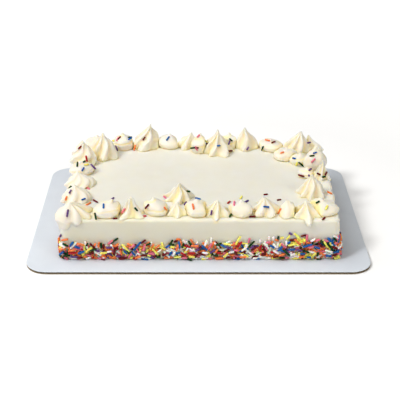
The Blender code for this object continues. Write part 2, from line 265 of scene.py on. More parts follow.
BORDER = {"front": FRONT_ROW, "right": RIGHT_ROW, "back": BACK_ROW, "left": LEFT_ROW}

# Sprinkles: colours are linear, and shares are how many of a hundred have each
SPRINKLE_RADIUS = 1.04 * MM
SPRINKLE_SUNK = 0.22
SPRINKLE_LENGTH = (5.0 * MM, 8.6 * MM)
SPRINKLE_BEND = 0.3 * MM
END_REACH = 5 * MM
END_PULLED = 4 * MM
LEAST_SLANT = 0.12
HIDDEN_TRIES = 5
HIDDEN_HEIGHTS = (0.1, 0.7)
HIDDEN_LOWEST = 1.5 * MM
HIDDEN_PROBE = 40 * MM
HIDDEN_HALF_LENGTH = (2.9 * MM, 4.1 * MM)
FALLEN_RODS = 34
FALLEN_LENGTH = (5.5 * MM, 8.5 * MM)
FALLEN_OUT = (0.6 * MM, 1.6 * MM)
FALLEN_ANGLE = 0.25
FALLEN_BEND = 0.4 * MM
SPRINKLE_COLOURS = {
    "dark_red": ((0.125, 0.003, 0.007), 14),
    "red": ((0.43, 0.010, 0.022), 11),
    "orange": ((0.85, 0.215, 0.060), 17),
    "yellow": ((1.0, 0.83, 0.16), 15),
    "white": ((1.0, 0.96, 0.85), 15),
    "green": ((0.003, 0.043, 0.006), 11),
    "blue": ((0.010, 0.105, 0.36), 13),
    "violet": ((0.12, 0.055, 0.20), 6),
    "pink": ((0.76, 0.19, 0.27), 11),
}


# Sprinkles on the border where the photograph shows them: pixel u and v, colour, slope there in degrees, and
# length there in pixels
SHOWN_SPRINKLES = (
    (79.7, 147.5, "dark_red", 45, 4.5), (86.8, 158.5, "red", -78, 6.7), (77.5, 164.7, "green", 85, 5),
    (84.4, 162, "green", 30, 3), (86.2, 165, "yellow", 8, 5), (82.8, 169.7, "blue", 60, 4.5),
    (93, 167, "violet", -45, 8.4), (116, 148.5, "violet", -68, 6), (113.6, 140.8, "yellow", 10, 4.5),
    (118, 139.6, "pink", 58, 5), (119.3, 138.3, "dark_red", 45, 4.5), (129.9, 137.6, "green", 3, 4.5),
    (129.8, 139, "blue", 30, 4), (134.7, 147.8, "orange", 75, 6), (143.7, 138.6, "dark_red", 55, 4.2),
    (159.5, 137.5, "pink", 12, 5.5), (168, 138.8, "blue", 55, 5.2), (193, 148.2, "green", 8, 6),
    (197, 148, "dark_red", 0, 4), (196.6, 148.4, "pink", -65, 5), (198.7, 136.2, "pink", 50, 4),
    (204.5, 137.2, "pink", 10, 4.5), (207.6, 143.9, "dark_red", -27, 4.8), (218.4, 145.7, "blue", 5, 3.5),
    (229, 142.6, "violet", 70, 4.5), (230.8, 140.2, "green", -40, 4.5), (229.8, 151, "dark_red", 4, 5),
    (247.5, 148.4, "violet", 60, 4), (263.5, 147.7, "green", 70, 5), (267.8, 140.6, "orange", -15, 5),
    (273.2, 142.9, "dark_red", 22, 4.4), (281.1, 141, "green", -30, 4.6), (282.4, 153, "orange", 20, 3.8),
    (294.4, 158.4, "blue", -10, 3.5), (297, 163.6, "yellow", 70, 4.5), (301, 164.5, "green", -37, 7),
    (308.2, 142.8, "violet", 10, 3.5), (315, 153.1, "blue", 15, 4.2), (312.2, 156, "green", 8, 5.3),
    (313.3, 160.6, "pink", 45, 6), (309.9, 170.1, "violet", 40, 3.5), (309.4, 176.5, "violet", -60, 3),
    (301.5, 175.9, "dark_red", -18, 6.8), (318.8, 174, "dark_red", -25, 3.6),
    (326, 173.4, "dark_red", 60, 3), (322.7, 176.8, "green", 15, 3.6), (329.6, 193.4, "orange", -27, 5),
    (318.3, 202.8, "green", 30, 4), (326.4, 207.8, "yellow", 60, 5), (323.7, 219.4, "dark_red", 40, 3.8),
    (70.3, 187.8, "green", 45, 3.5), (70.3, 191.9, "violet", 60, 4.4), (66.4, 198.3, "orange", 75, 5),
    (67.4, 213.4, "violet", 80, 8), (87.3, 188.4, "pink", -25, 7.2), (83.6, 199.4, "blue", 20, 3),
    (88.3, 204.4, "orange", 30, 6), (95.4, 201.6, "dark_red", -30, 5.6), (103.8, 206.7, "blue", 88, 4.6),
    (96.4, 215.8, "green", -78, 7.4), (112.7, 199.1, "violet", 35, 3.4), (115.2, 219, "dark_red", 5, 4.6),
    (123.5, 211, "pink", 55, 6.4), (136.3, 209.2, "green", -48, 5), (144.1, 216.7, "red", 10, 5),
    (148, 206.5, "dark_red", 50, 6), (165.2, 198, "pink", -42, 7.4), (165, 209, "orange", -48, 4.6),
    (188, 191.5, "green", -10, 3.4), (186.8, 202.5, "violet", 52, 6.4), (193.3, 207, "orange", -78, 6),
    (198, 199, "blue", -15, 6), (211.2, 212.6, "violet", 80, 5.4), (228.8, 202.8, "red", 40, 3.6),
    (234.6, 203.8, "pink", 85, 4.2), (230.5, 215.8, "green", 60, 4.2), (241, 197.9, "yellow", 60, 3.6),
    (246.3, 202, "violet", 30, 5), (252.6, 217, "dark_red", 3, 6.8), (265.7, 194.9, "dark_red", 8, 4.2),
    (266, 207, "blue", -6, 6), (279, 200.3, "dark_red", 10, 3.4), (280.1, 211.3, "orange", 65, 6),
)


# Numbers and shapes

def smooth_path(points, count):
    """A smooth curve through the points, in so many evenly spread steps: Catmull-Rom, as an array."""
    p = np.array([points[0], *points, points[-1]], float)
    fine = []
    for k in range(len(points) - 1):
        a, b, c, d = p[k:k + 4]
        square, cube = 2 * a - 5 * b + 4 * c - d, 3 * b - a - 3 * c + d
        for t in np.linspace(0, 1, 24, endpoint=False):
            fine.append(0.5 * (2 * b + (c - a) * t + square * t ** 2 + cube * t ** 3))
    fine = np.array([*fine, p[-1]])
    run = np.concatenate([[0], np.cumsum(np.linalg.norm(np.diff(fine, axis=0), axis=1))])
    at = np.linspace(0, run[-1], count)
    return np.stack([np.interp(at, run, fine[:, k]) for k in range(fine.shape[1])], axis=1)


def noise_at(points, scale, seed):
    """Smooth noise, about -1 to 1, at points in metres, with features of about scale metres."""
    shift = Vector((seed * 17.3, seed * 5.1, seed * 9.7))
    return np.array([noise.noise(Vector(p) / scale + shift) for p in points])


def warp_at(points):
    """How far hand piping strays from an even shape at points in metres: one field, shared by all pieces."""
    seeds = [WARP_SEED + WARP_AXIS_STEP * axis for axis in range(3)]
    moved = np.stack([noise_at(points, WARP_SCALE, seed) for seed in seeds], axis=1)
    return WARP_REACH * moved * WARP_BY_AXIS


def waves(points, wave, seed):
    """Smooth waves of a (reach, scale) pair, at points in metres."""
    reach, scale = wave
    return reach * noise_at(points, scale, seed)


def make_mesh(name, vertices, faces, smooth=True):
    """A mesh object from an array of points and a list of faces."""
    mesh = bpy.data.meshes.new(name)
    mesh.from_pydata([tuple(v) for v in vertices], [], faces)
    mesh.polygons.foreach_set("use_smooth", [smooth] * len(mesh.polygons))
    mesh.update()
    obj = bpy.data.objects.new(name, mesh)
    bpy.context.scene.collection.objects.link(obj)
    return obj


def vertex_array(obj, name):
    """The places or normals of a mesh's vertices, as an array of rows."""
    values = np.zeros(len(obj.data.vertices) * 3)
    obj.data.vertices.foreach_get(name, values)
    return values.reshape(-1, 3)


def set_attribute(obj, name, values):
    """Store one number for each vertex, for the material to read."""
    attribute = obj.data.attributes.new(name, "FLOAT", "POINT")
    attribute.data.foreach_set("value", np.asarray(values, np.float32))


def tube_faces(rows, columns, close_start, close_end):
    """Faces of a closed net of rows and columns of points, with a flat face over either end if asked."""
    faces = []
    for i in range(rows - 1):
        for j in range(columns):
            k = (j + 1) % columns
            faces.append((i * columns + j, i * columns + k, (i + 1) * columns + k, (i + 1) * columns + j))
    if close_start:
        faces.append(tuple(reversed(range(columns))))
    if close_end:
        faces.append(tuple(range((rows - 1) * columns, rows * columns)))
    return faces


def rounded_outline(half_x, half_y, radius, straight_steps, corner_steps):
    """Points round a rectangle with rounded corners, and the way out at each.

    They start at the front right corner and keep the same order for every size.
    """
    points, outward = [], []
    corners = ((1, -1, -90), (1, 1, 0), (-1, 1, 90), (-1, -1, 180))
    for number, (side_x, side_y, start) in enumerate(corners):
        centre = np.array([side_x * (half_x - radius), side_y * (half_y - radius)])
        for k in range(corner_steps):
            angle = math.radians(start + 90 * k / (corner_steps - 1))
            way = np.array([math.cos(angle), math.sin(angle)])
            points.append(centre + radius * way)
            outward.append(way)
        next_x, next_y, _ = corners[(number + 1) % 4]
        end = np.array([next_x * (half_x - radius), next_y * (half_y - radius)]) + radius * way
        steps = straight_steps[number % 2]
        first = points[-1]
        for k in range(1, steps):
            points.append(first + (end - first) * k / steps)
            outward.append(way)
    return np.array(points), np.array(outward)


# Frosted block

NIBS = (
    # x, y, z, reach and height of small lumps on the block's side, in mm
    (147.5, -96, 37, 2.2, 2.6),
    (148.5, -60, 40, 3.5, 1.0),
    (144.5, -40, 44, 9.0, 1.8),
    (144.5, -14, 45, 11.0, 2.4),
    (144.5, 14, 44, 9.0, 1.8),
    (-146.0, -94, 30, 4.0, 0.8),
    (-138.0, -100.5, 28, 21.0, 1.5),
)


def block_rows():
    """(inset from the foot's outline, height) of each row of the block, from its foot to its top's middle."""
    rows = []
    side = CAKE_TOP_Z - CAKE_RIM_RADIUS - CAKE_BOTTOM_Z
    for k in range(BLOCK_SIDE_ROWS):
        share = k / BLOCK_SIDE_ROWS
        rows.append((CAKE_SIDE_TAPER * share, CAKE_BOTTOM_Z + side * share))
    for k in range(BLOCK_RIM_ROWS + 1):
        angle = math.pi / 2 * k / BLOCK_RIM_ROWS
        rows.append((
            CAKE_SIDE_TAPER + CAKE_RIM_RADIUS * (1 - math.cos(angle)),
            CAKE_TOP_Z - CAKE_RIM_RADIUS * (1 - math.sin(angle)),
        ))
    inset = rows[-1][0]
    while inset < CAKE_WIDTH / 2 - 3 * MM:
        inset += BLOCK_STEP
        rows.append((inset, CAKE_TOP_Z))
    return rows


def make_block():
    """The frosted block, smoothed with a spatula: its faces wave a little, and its sides have faint strokes."""
    points = []
    for inset, z in block_rows():
        corner = max(CAKE_CORNER_RADIUS - inset, CAKE_LEAST_CORNER)
        ring, _ = rounded_outline(CAKE_LENGTH / 2 - inset, CAKE_WIDTH / 2 - inset, corner, *BLOCK_OUTLINE_STEPS)
        points.append(np.column_stack([ring + CAKE_CENTRE.xy, np.full(len(ring), z)]))
    rows, columns = len(points), len(points[0])
    points = np.concatenate(points)
    obj = make_mesh("cake_frosting", points, tube_faces(rows, columns, True, True))
    normals = vertex_array(obj, "normal")
    upright = 1 - np.clip(normals[:, 2], 0, 1)
    rim = np.exp(-((points[:, 2] - CAKE_TOP_Z + RIM_DEEP) / RIM_REACH) ** 2) * upright
    lift = waves(points, TOP_WAVES, 1) + waves(points, TOP_RIPPLES, 2)
    lift += upright * (waves(points * STROKE_STRETCH, SIDE_STROKES, 3) + waves(points, SIDE_WAVES, 4))
    lift += rim * waves(points, RIM_WAVES, 5)
    lift *= np.clip((points[:, 2] - CAKE_BOTTOM_Z) / FOOT_STILL, 0, 1)
    for x, y, z, reach, height in NIBS:
        away = np.linalg.norm(points / MM - (x, y, z), axis=1)
        lift += height * MM * np.exp(-(away / reach) ** 2)
    obj.data.vertices.foreach_set("co", (points + normals * lift[:, None]).ravel())
    obj.data.update()
    return obj


# Piped border

def outside_block(x, y):
    """How far points lie outside the straight faces of the block's top edge."""
    half_x = CAKE_LENGTH / 2 - CAKE_SIDE_TAPER - CAKE_RIM_RADIUS
    half_y = CAKE_WIDTH / 2 - CAKE_SIDE_TAPER - CAKE_RIM_RADIUS
    over_x = np.maximum(np.abs(x - CAKE_CENTRE.x) - half_x, 0)
    over_y = np.maximum(np.abs(y - CAKE_CENTRE.y) - half_y, 0)
    return np.hypot(over_x, over_y)


def facing_planes(piece, pieces):
    """Upright planes where a piece meets its neighbours, as (point, outward direction)."""
    planes = []
    for other in pieces:
        between = np.array([other.x - piece.x, other.y - piece.y]) * MM
        distance = float(np.hypot(*between))
        reach, other_reach = piece.radius * MM, other.radius * MM
        if other is piece or distance > (reach + other_reach) * NEIGHBOUR_REACH:
            continue
        along = (distance ** 2 + reach ** 2 - other_reach ** 2) / (2 * distance)
        outward = between / distance
        planes.append((np.array([piece.x, piece.y]) * MM + outward * along, outward))
    return planes


def star_shape(piece, angles, share_z, rng):
    """Share of the profile's radius at each angle and height of a star, and how much painted golden shade it
    gets in a groove.

    The lobes are round and of uneven size, with narrow grooves between them, and swell at the foot.
    """
    step = 2 * math.pi / piece.ridges
    crests = np.array([(k + rng.uniform(-LOBE_UNEVEN, LOBE_UNEVEN)) * step for k in range(piece.ridges)])
    crests = np.append(crests, crests[0] + 2 * math.pi)
    reach = np.array([rng.uniform(*LOBE_REACH) for _ in range(piece.ridges)])
    tilt = np.array([rng.uniform(-LOBE_TILT, LOBE_TILT) for _ in range(piece.ridges)])
    reach, tilt = np.append(reach, reach[0]), np.append(tilt, tilt[0])
    cut = np.array([rng.uniform(*GROOVE_CUT) for _ in range(piece.ridges)])
    turned = (angles - crests[0]) % (2 * math.pi) + crests[0]
    lobe = np.clip(np.searchsorted(crests, turned, side="right") - 1, 0, piece.ridges - 1)
    between = (turned - crests[lobe]) / (crests[lobe + 1] - crests[lobe])
    height = share_z[:, None]
    power = np.interp(height, GROOVE_HEIGHTS, GROOVE_POWERS) * (1 + FLARED_SHARPER * piece.flare)
    swell = (np.cos(math.pi * between)[None, :] ** 2 + GROOVE_SOFT ** 2) ** (power / 2)
    least, most = GROOVE_SOFT ** power, (1 + GROOVE_SOFT ** 2) ** (power / 2)
    groove = (most - swell) / (most - least) * cut[lobe][None, :]
    hang = hang_share(piece, angles)[None, :]
    groove *= 1 - HANGING_SMOOTH * hang
    ease = between * between * (3 - 2 * between)
    own_reach = reach[lobe][None, :] + tilt[lobe][None, :] * (TILT_PIVOT - height)
    next_reach = reach[lobe + 1][None, :] + tilt[lobe + 1][None, :] * (TILT_PIVOT - height)
    depth = np.interp(height, GROOVE_HEIGHTS, GROOVE_DEPTHS) * (1 + FLARED_DEEPER * piece.flare)
    toe = TOE_SWELL * np.exp(-(height / TOE_HEIGHT) ** 2) * (1 - groove)
    # painted shade in the grooves, less towards the peak
    deep = GROOVE_SHADE * groove ** 2 * np.interp(height, SHADE_HEIGHTS, SHADE_SHARES)
    swell = (own_reach * (1 - ease) + next_reach * ease) * (1 + HANGING_SWELL * hang)
    # crisp scales both the grooves' depth and their painted shade
    return swell * (1 - piece.crisp * depth * groove) + toe, piece.crisp * deep


def hang_share(piece, angles):
    """How much each side of a piece hangs over the cake's edge, from 0 to 1."""
    if piece.hangs_to is None:
        return np.zeros_like(angles)
    return np.clip(np.cos(angles + math.radians(piece.turn - piece.hangs_to)), 0, 1) ** 2


def dollop_shape(angles, share_z, rng):
    """Share of the profile's radius at each angle and height of a dollop, and how much painted golden shade it
    gets in a fold.

    A dollop is lumpy and not quite round, and its frosting lies in a coil that winds up to the peak.
    """
    start, oval = rng.uniform(0, 2 * math.pi), rng.uniform(*DOLLOP_OVAL)
    low, pitch = rng.uniform(*COIL_LOW), rng.uniform(*COIL_PITCH)
    marked = rng.choice(COIL_MARKED)
    height = share_z[:, None]
    own_turn = ((angles - start) % (2 * math.pi) / (2 * math.pi))[None, :]
    share = 1 + oval * np.cos(2 * (angles - start))[None, :] + np.zeros_like(height)
    deep = np.zeros_like(share)
    for turn in range(COIL_TURNS):
        wound = own_turn + turn
        away = height - low - pitch * wound
        begun, ended = wound / COIL_FADES_IN, (COIL_END - wound) / COIL_FADES_OUT
        present = marked * np.clip(begun, 0, 1) * np.clip(ended, 0, 1)
        fold = present * np.exp(-(away / FOLD_WIDTH) ** 2)
        swell = present * np.exp(-((away + FOLD_SWELL_BELOW) / FOLD_SWELL_WIDTH) ** 2)
        share += FOLD_SWELL * swell - FOLD_DEPTH * fold
        # painted shade in the coil's folds
        deep = np.maximum(deep, fold)
    across, forward = np.cos(angles)[None, :], np.sin(angles)[None, :]
    around = np.stack(np.broadcast_arrays(across, forward, LUMP_FLATTER * height), axis=2)
    lumps = noise_at(around.reshape(-1, 3), LUMP_SCALE, rng.uniform(1, 9)).reshape(share.shape)
    return share + LUMP_SWELL * lumps, FOLD_SHADE * deep


def piped_points(piece, pieces, rng):
    """Net of points of one piped piece, from under its foot to its peak, and how much painted golden shade each
    gets.
    """
    is_star = piece.kind == "star"
    profile = smooth_path(STAR_PROFILE if is_star else DOLLOP_PROFILE, PIPED_RINGS)[:-1]
    if is_star:
        profile += piece.flare * (smooth_path(FLARED_PROFILE, PIPED_RINGS)[:-1] - profile)
    share_r, share_z = profile[:, 0], profile[:, 1]
    samples = STAR_SAMPLES if is_star else DOLLOP_SAMPLES
    angles = np.arange(samples) * 2 * math.pi / samples
    if is_star:
        share, deep = star_shape(piece, angles, share_z, rng)
        twist = math.radians(piece.twist * rng.uniform(*TWIST_VARIES))
    else:
        share, deep = dollop_shape(angles, share_z, rng)
        twist = 0.0
    turn = angles[None, :] + math.radians(piece.turn) + twist * share_z[:, None]
    radius = (STAR_FULLER if is_star else 1) * piece.radius * MM * share_r[:, None] * share
    lean = np.clip(share_z, 0, 1)[:, None] ** piece.bow
    x = piece.x * MM + radius * np.cos(turn) + piece.lean_x * MM * lean
    y = piece.y * MM + radius * np.sin(turn) + piece.lean_y * MM * lean
    sag = np.full(samples, float(piece.slump))
    if piece.hangs_to is not None:
        sag *= LEAST_SAG + (1 - LEAST_SAG) * hang_share(piece, angles)
    rise = np.maximum(share_z * piece.height, 0)[:, None] + SINK_DEEP * np.outer(np.minimum(share_z, 0), sag)
    z = CAKE_TOP_Z + rise * MM
    over = np.minimum(outside_block(x, y), HANG_REACH)
    z -= HANG_DROP * over * min(1.0, piece.slump / HANG_FULL_SLUMP) * np.clip(1 - share_z, 0, 1)[:, None] ** 2
    touch = np.zeros_like(x)
    for point, outward in facing_planes(piece, pieces):
        beyond = (x - point[0]) * outward[0] + (y - point[1]) * outward[1]
        kept = -PIPED_PRESSED * np.logaddexp(0, -beyond / PIPED_PRESSED)
        x += (kept - beyond) * outward[0]
        y += (kept - beyond) * outward[1]
        touch = np.maximum(touch, np.exp(kept / TOUCH_REACH))
    foot = np.exp(-np.maximum(z - CAKE_TOP_Z, 0) / FOOT_REACH) * (outside_block(x, y) < 1 * MM)
    # painted golden shade in the grooves, where pieces touch and at their feet
    crevice_shade = np.clip(deep + TOUCH_SHADE * touch + FOOT_SHADE * foot, 0, 1)
    peak_x, peak_y = piece.x * MM + piece.lean_x * MM, piece.y * MM + piece.lean_y * MM
    peak = (peak_x, peak_y, CAKE_TOP_Z + piece.height * MM)
    points = np.stack([x, y, z], axis=2).reshape(-1, 3)
    wobble = waves(points, WOBBLE, 11) + waves(points, FINE_WOBBLE, 12)
    wobble *= np.repeat(np.interp(share_z, WOBBLE_HEIGHTS, WOBBLE_SHARES), samples)
    points[:, 0] += wobble * np.cos(turn).ravel()
    points[:, 1] += wobble * np.sin(turn).ravel()
    at_height = np.repeat(np.clip(share_z, 0, 1), samples)[:, None]
    warp = warp_at(points) - warp_at([peak]) * at_height ** 2
    points += warp * np.interp(at_height, WARP_HEIGHTS, WARP_SHARES)
    return np.vstack([points, peak]), np.append(crevice_shade.ravel(), 0), len(share_z), samples


def make_piped(name, piece, pieces, rng):
    """One piped star or dollop, closed over its peak."""
    points, crevice_shade, rows, columns = piped_points(piece, pieces, rng)
    faces = tube_faces(rows, columns, True, False)
    last = (rows - 1) * columns
    faces += [(last + j, last + (j + 1) % columns, rows * columns) for j in range(columns)]
    obj = make_mesh(name, points, faces)
    set_attribute(obj, "crevice_shade", crevice_shade)
    outline = points[3 * columns:4 * columns, :2] - np.array([piece.x, piece.y]) * MM
    return obj, outline


def shade_block(block, outlines):
    """Mark painted golden shade at the feet of the piped pieces and in the band, and painted shade on the
    sides.
    """
    points, normals = vertex_array(block, "co"), vertex_array(block, "normal")
    crevice_shade = np.zeros(len(points))
    # painted golden shade on the block's top round each piece's foot
    for piece, outline in outlines:
        offset = points[:, :2] - np.array([piece.x, piece.y]) * MM
        angle = np.arctan2(offset[:, 1], offset[:, 0])
        own = np.arctan2(outline[:, 1], outline[:, 0])
        order = np.argsort(own)
        edge = np.interp(angle, own[order], np.hypot(*outline.T)[order], period=2 * math.pi)
        away = np.hypot(*offset.T) - edge
        crevice_shade = np.maximum(crevice_shade, np.exp(-np.maximum(away, 0) / FOOT_REACH))
    crevice_shade *= points[:, 2] > CAKE_TOP_Z - 4 * MM
    # the band's part of the block gets painted golden shade between its rods, and no side shade
    band = np.clip((CAKE_BOTTOM_Z + BAND_HEIGHT + 1 * MM - points[:, 2]) / (4 * MM), 0, 1)
    set_attribute(block, "crevice_shade", BLOCK_SHADE * np.maximum(crevice_shade, band))
    # painted shade on the sides, as if they got less light than the top: most towards the left end, none at the
    # right end, left out where a side faces the lamps on the left and in the band
    leftward = np.clip(-normals[:, 0] * LEFT_FADES, 0, 1)
    side = np.clip((SIDE_STARTS - normals[:, 2]) / SIDE_FADES, 0, 1)
    side *= SIDE_SHADE * (1 - points[:, 0] / (CAKE_LENGTH / 2))
    set_attribute(block, "side", side * (1 - leftward) * (1 - band))


# Sprinkles

ROD_SIDES = 8
ROD_END = ((0.0, 0.0), (0.68, 0.16), (1.0, 0.80))


def rod_template():
    """Rings of a sugar rod with rounded ends: (share of the radius, share of the length, offset in radii)."""
    start = [(share, -0.5, offset) for share, offset in ROD_END]
    end = [(share, 0.5, -offset) for share, offset in reversed(ROD_END)]
    return [*start, (1.0, 0.0, 0.0), *end]


class RodHeap:
    """Collects rods of every colour, and joins those of one colour into one piece."""

    def __init__(self):
        self.vertices = {name: [] for name in SPRINKLE_COLOURS}
        self.faces = {name: [] for name in SPRINKLE_COLOURS}

    def add(self, colour, centre, along, length, radius, bend, across):
        """One rod, bent a little towards across."""
        along = Vector(along).normalized()
        side = along.cross(Vector(across)).normalized()
        out = side.cross(along)
        base = len(self.vertices[colour])
        rings = rod_template()
        for share, place, in_ in rings:
            run = place * length + in_ * radius
            middle = Vector(centre) + along * run + out * bend * (0.25 - (run / length) ** 2)
            for k in range(ROD_SIDES):
                angle = 2 * math.pi * k / ROD_SIDES
                ring = (side * math.cos(angle) + out * math.sin(angle)) * radius * share
                self.vertices[colour].append(middle + ring)
        for i in range(len(rings) - 1):
            for j in range(ROD_SIDES):
                k = (j + 1) % ROD_SIDES
                a, b = base + i * ROD_SIDES, base + (i + 1) * ROD_SIDES
                self.faces[colour].append((a + j, a + k, b + k, b + j))

    def build(self):
        """One mesh for each colour."""
        made = {}
        for colour, points in self.vertices.items():
            obj = make_mesh(f"sprinkles_{colour}", points, self.faces[colour])
            bm = bmesh.new()
            bm.from_mesh(obj.data)
            bmesh.ops.remove_doubles(bm, verts=bm.verts, dist=0.00001 * MM)
            bm.to_mesh(obj.data)
            bm.free()
            made[colour] = obj
        return made


def random_colour(rng):
    """A colour, each as often as its share says."""
    names = list(SPRINKLE_COLOURS)
    return rng.choices(names, weights=[SPRINKLE_COLOURS[n][1] for n in names])[0]


def camera_ray(u, v):
    """Direction from the camera through a pixel of the photograph."""
    forward = Vector((0, math.cos(CAMERA_PITCH), -math.sin(CAMERA_PITCH)))
    up = Vector((0, math.sin(CAMERA_PITCH), math.cos(CAMERA_PITCH)))
    right = Vector((1, 0, 0))
    across = (u - OPTICAL_AXIS_PIXEL[0]) / FOCAL_PIXELS
    down = (v - OPTICAL_AXIS_PIXEL[1]) / FOCAL_PIXELS
    return (forward + right * across - up * down).normalized()


def end_rays(u, v, slope, length):
    """Directions from the camera to both ends of a sprinkle that it sees at a pixel."""
    step_u = math.cos(math.radians(slope)) * length / 2
    step_v = math.sin(math.radians(slope)) * length / 2
    return camera_ray(u - step_u, v + step_v), camera_ray(u + step_u, v - step_v)


def rest_rod(heap, colour, place, normal, ends, rng):
    """Lay a rod on the frosting through two places on it, raised so that it doesn't sink in between them."""
    along = ends[1] - ends[0]
    shortest, longest = SPRINKLE_LENGTH
    length = min(max(along.length, shortest), longest)
    along.normalize()
    out = (normal - along * normal.dot(along)).normalized()
    middle = (ends[0] + ends[1]) / 2
    raised = max(0.0, (place - middle).dot(out))
    centre = middle + out * (raised + SPRINKLE_RADIUS * (1 - 2 * SPRINKLE_SUNK))
    heap.add(colour, centre, along, length, SPRINKLE_RADIUS, rng.uniform(-1, 1) * SPRINKLE_BEND, out)


def shown_sprinkle(heap, tree, u, v, colour, slope, length, rng):
    """Lay a sprinkle on the frosting where a pixel of the photograph shows it, along the slope seen there."""
    place, normal, _, _ = tree.ray_cast(CAMERA_PLACE, camera_ray(u, v))
    if place is None:
        return
    ends = []
    for ray in end_rays(u, v, slope, length):
        end, _, _, _ = tree.ray_cast(CAMERA_PLACE, ray)
        if end is None or (end - place).length > END_REACH:
            slant = ray.dot(normal)
            end = place
            if abs(slant) > LEAST_SLANT:
                end = CAMERA_PLACE + ray * ((place - CAMERA_PLACE).dot(normal) / slant)
            if (end - place).length > END_REACH:
                end = place + (end - place).normalized() * END_PULLED
        ends.append(end)
    if (ends[1] - ends[0]).length < 1 * MM:
        ends[1] = ends[0] + normal.cross(camera_ray(u, v))
    rest_rod(heap, colour, place, normal, ends, rng)


def hidden_sprinkle(heap, tree, piece, rng):
    """Lay a sprinkle somewhere on a piece, but only on a side that the photograph doesn't show."""
    angle = rng.uniform(0, 2 * math.pi)
    target = Vector((piece.x, piece.y, rng.uniform(*HIDDEN_HEIGHTS) * piece.height)) * MM
    target.z += CAKE_TOP_Z
    way = Vector((math.cos(angle), math.sin(angle), 0.5)).normalized()
    place, normal, _, _ = tree.ray_cast(target + way * HIDDEN_PROBE, -way)
    if place is None or place.z < CAKE_TOP_Z + HIDDEN_LOWEST:
        return
    aside = Vector((rng.gauss(0, 1), rng.gauss(0, 1), rng.gauss(0, 1)))
    step = normal.cross(aside).normalized() * rng.uniform(*HIDDEN_HALF_LENGTH)
    for sign in (-1, 0, 1):
        crown = place + step * sign + normal * 3 * SPRINKLE_RADIUS
        _, _, _, blocked_at = tree.ray_cast(CAMERA_PLACE, (crown - CAMERA_PLACE).normalized())
        if blocked_at is None or blocked_at > (crown - CAMERA_PLACE).length:
            return
    ends = []
    for sign in (-1, 1):
        end, _, _, _ = tree.ray_cast(place + step * sign + normal * 3 * MM, -normal, 7 * MM)
        if end is None:
            return
        ends.append(end)
    rest_rod(heap, random_colour(rng), place, normal, ends, rng)


def round_the_side(distance):
    """A point on the foot of the block's side, so far round it from the front left, and the way out."""
    half_x = CAKE_LENGTH / 2 - CAKE_CORNER_RADIUS
    half_y = CAKE_WIDTH / 2 - CAKE_CORNER_RADIUS
    corner = CAKE_CORNER_RADIUS * math.pi / 2
    heading = -90
    for x, y, straight in (
        (half_x, -half_y, 2 * half_x), (half_x, half_y, 2 * half_y),
        (-half_x, half_y, 2 * half_x), (-half_x, -half_y, 2 * half_y),
    ):
        short = min(0.0, distance - straight)
        turned = heading + 90 * max(0.0, min(1.0, (distance - straight) / corner))
        outward = Vector((math.cos(math.radians(turned)), math.sin(math.radians(turned)), 0))
        if distance <= straight + corner:
            along = Vector((-outward.y, outward.x, 0))
            return CAKE_CENTRE + Vector((x, y, 0)) + outward * CAKE_CORNER_RADIUS + along * short, outward
        distance -= straight + corner
        heading += 90
    return round_the_side(distance)


def side_surface(tree, s, z):
    """A place on the block's side, so far round it and so high, with the way out there and the way along."""
    foot, outward = round_the_side(s)
    start = foot + outward * PROBE_OUT
    start.z = z
    place, _, _, _ = tree.ray_cast(start, -outward)
    return place, outward, Vector((-outward.y, outward.x, 0))


# Band: it is laid over a map of the sides, unrolled, that says how far out each place is filled
BAND_HEIGHT = 17.5 * MM
BAND_FRONT = (
    # along the front from its left corner, and how much higher the band reaches there, in mm
    (0, 1.0), (25, -2.5), (50, -2.0), (110, -1.5), (190, -1.5), (215, 1.0), (235, 4.0), (265, 2.5),
    (275, 6.0),
)
BAND_SHOWN_OUT = 3.2 * MM
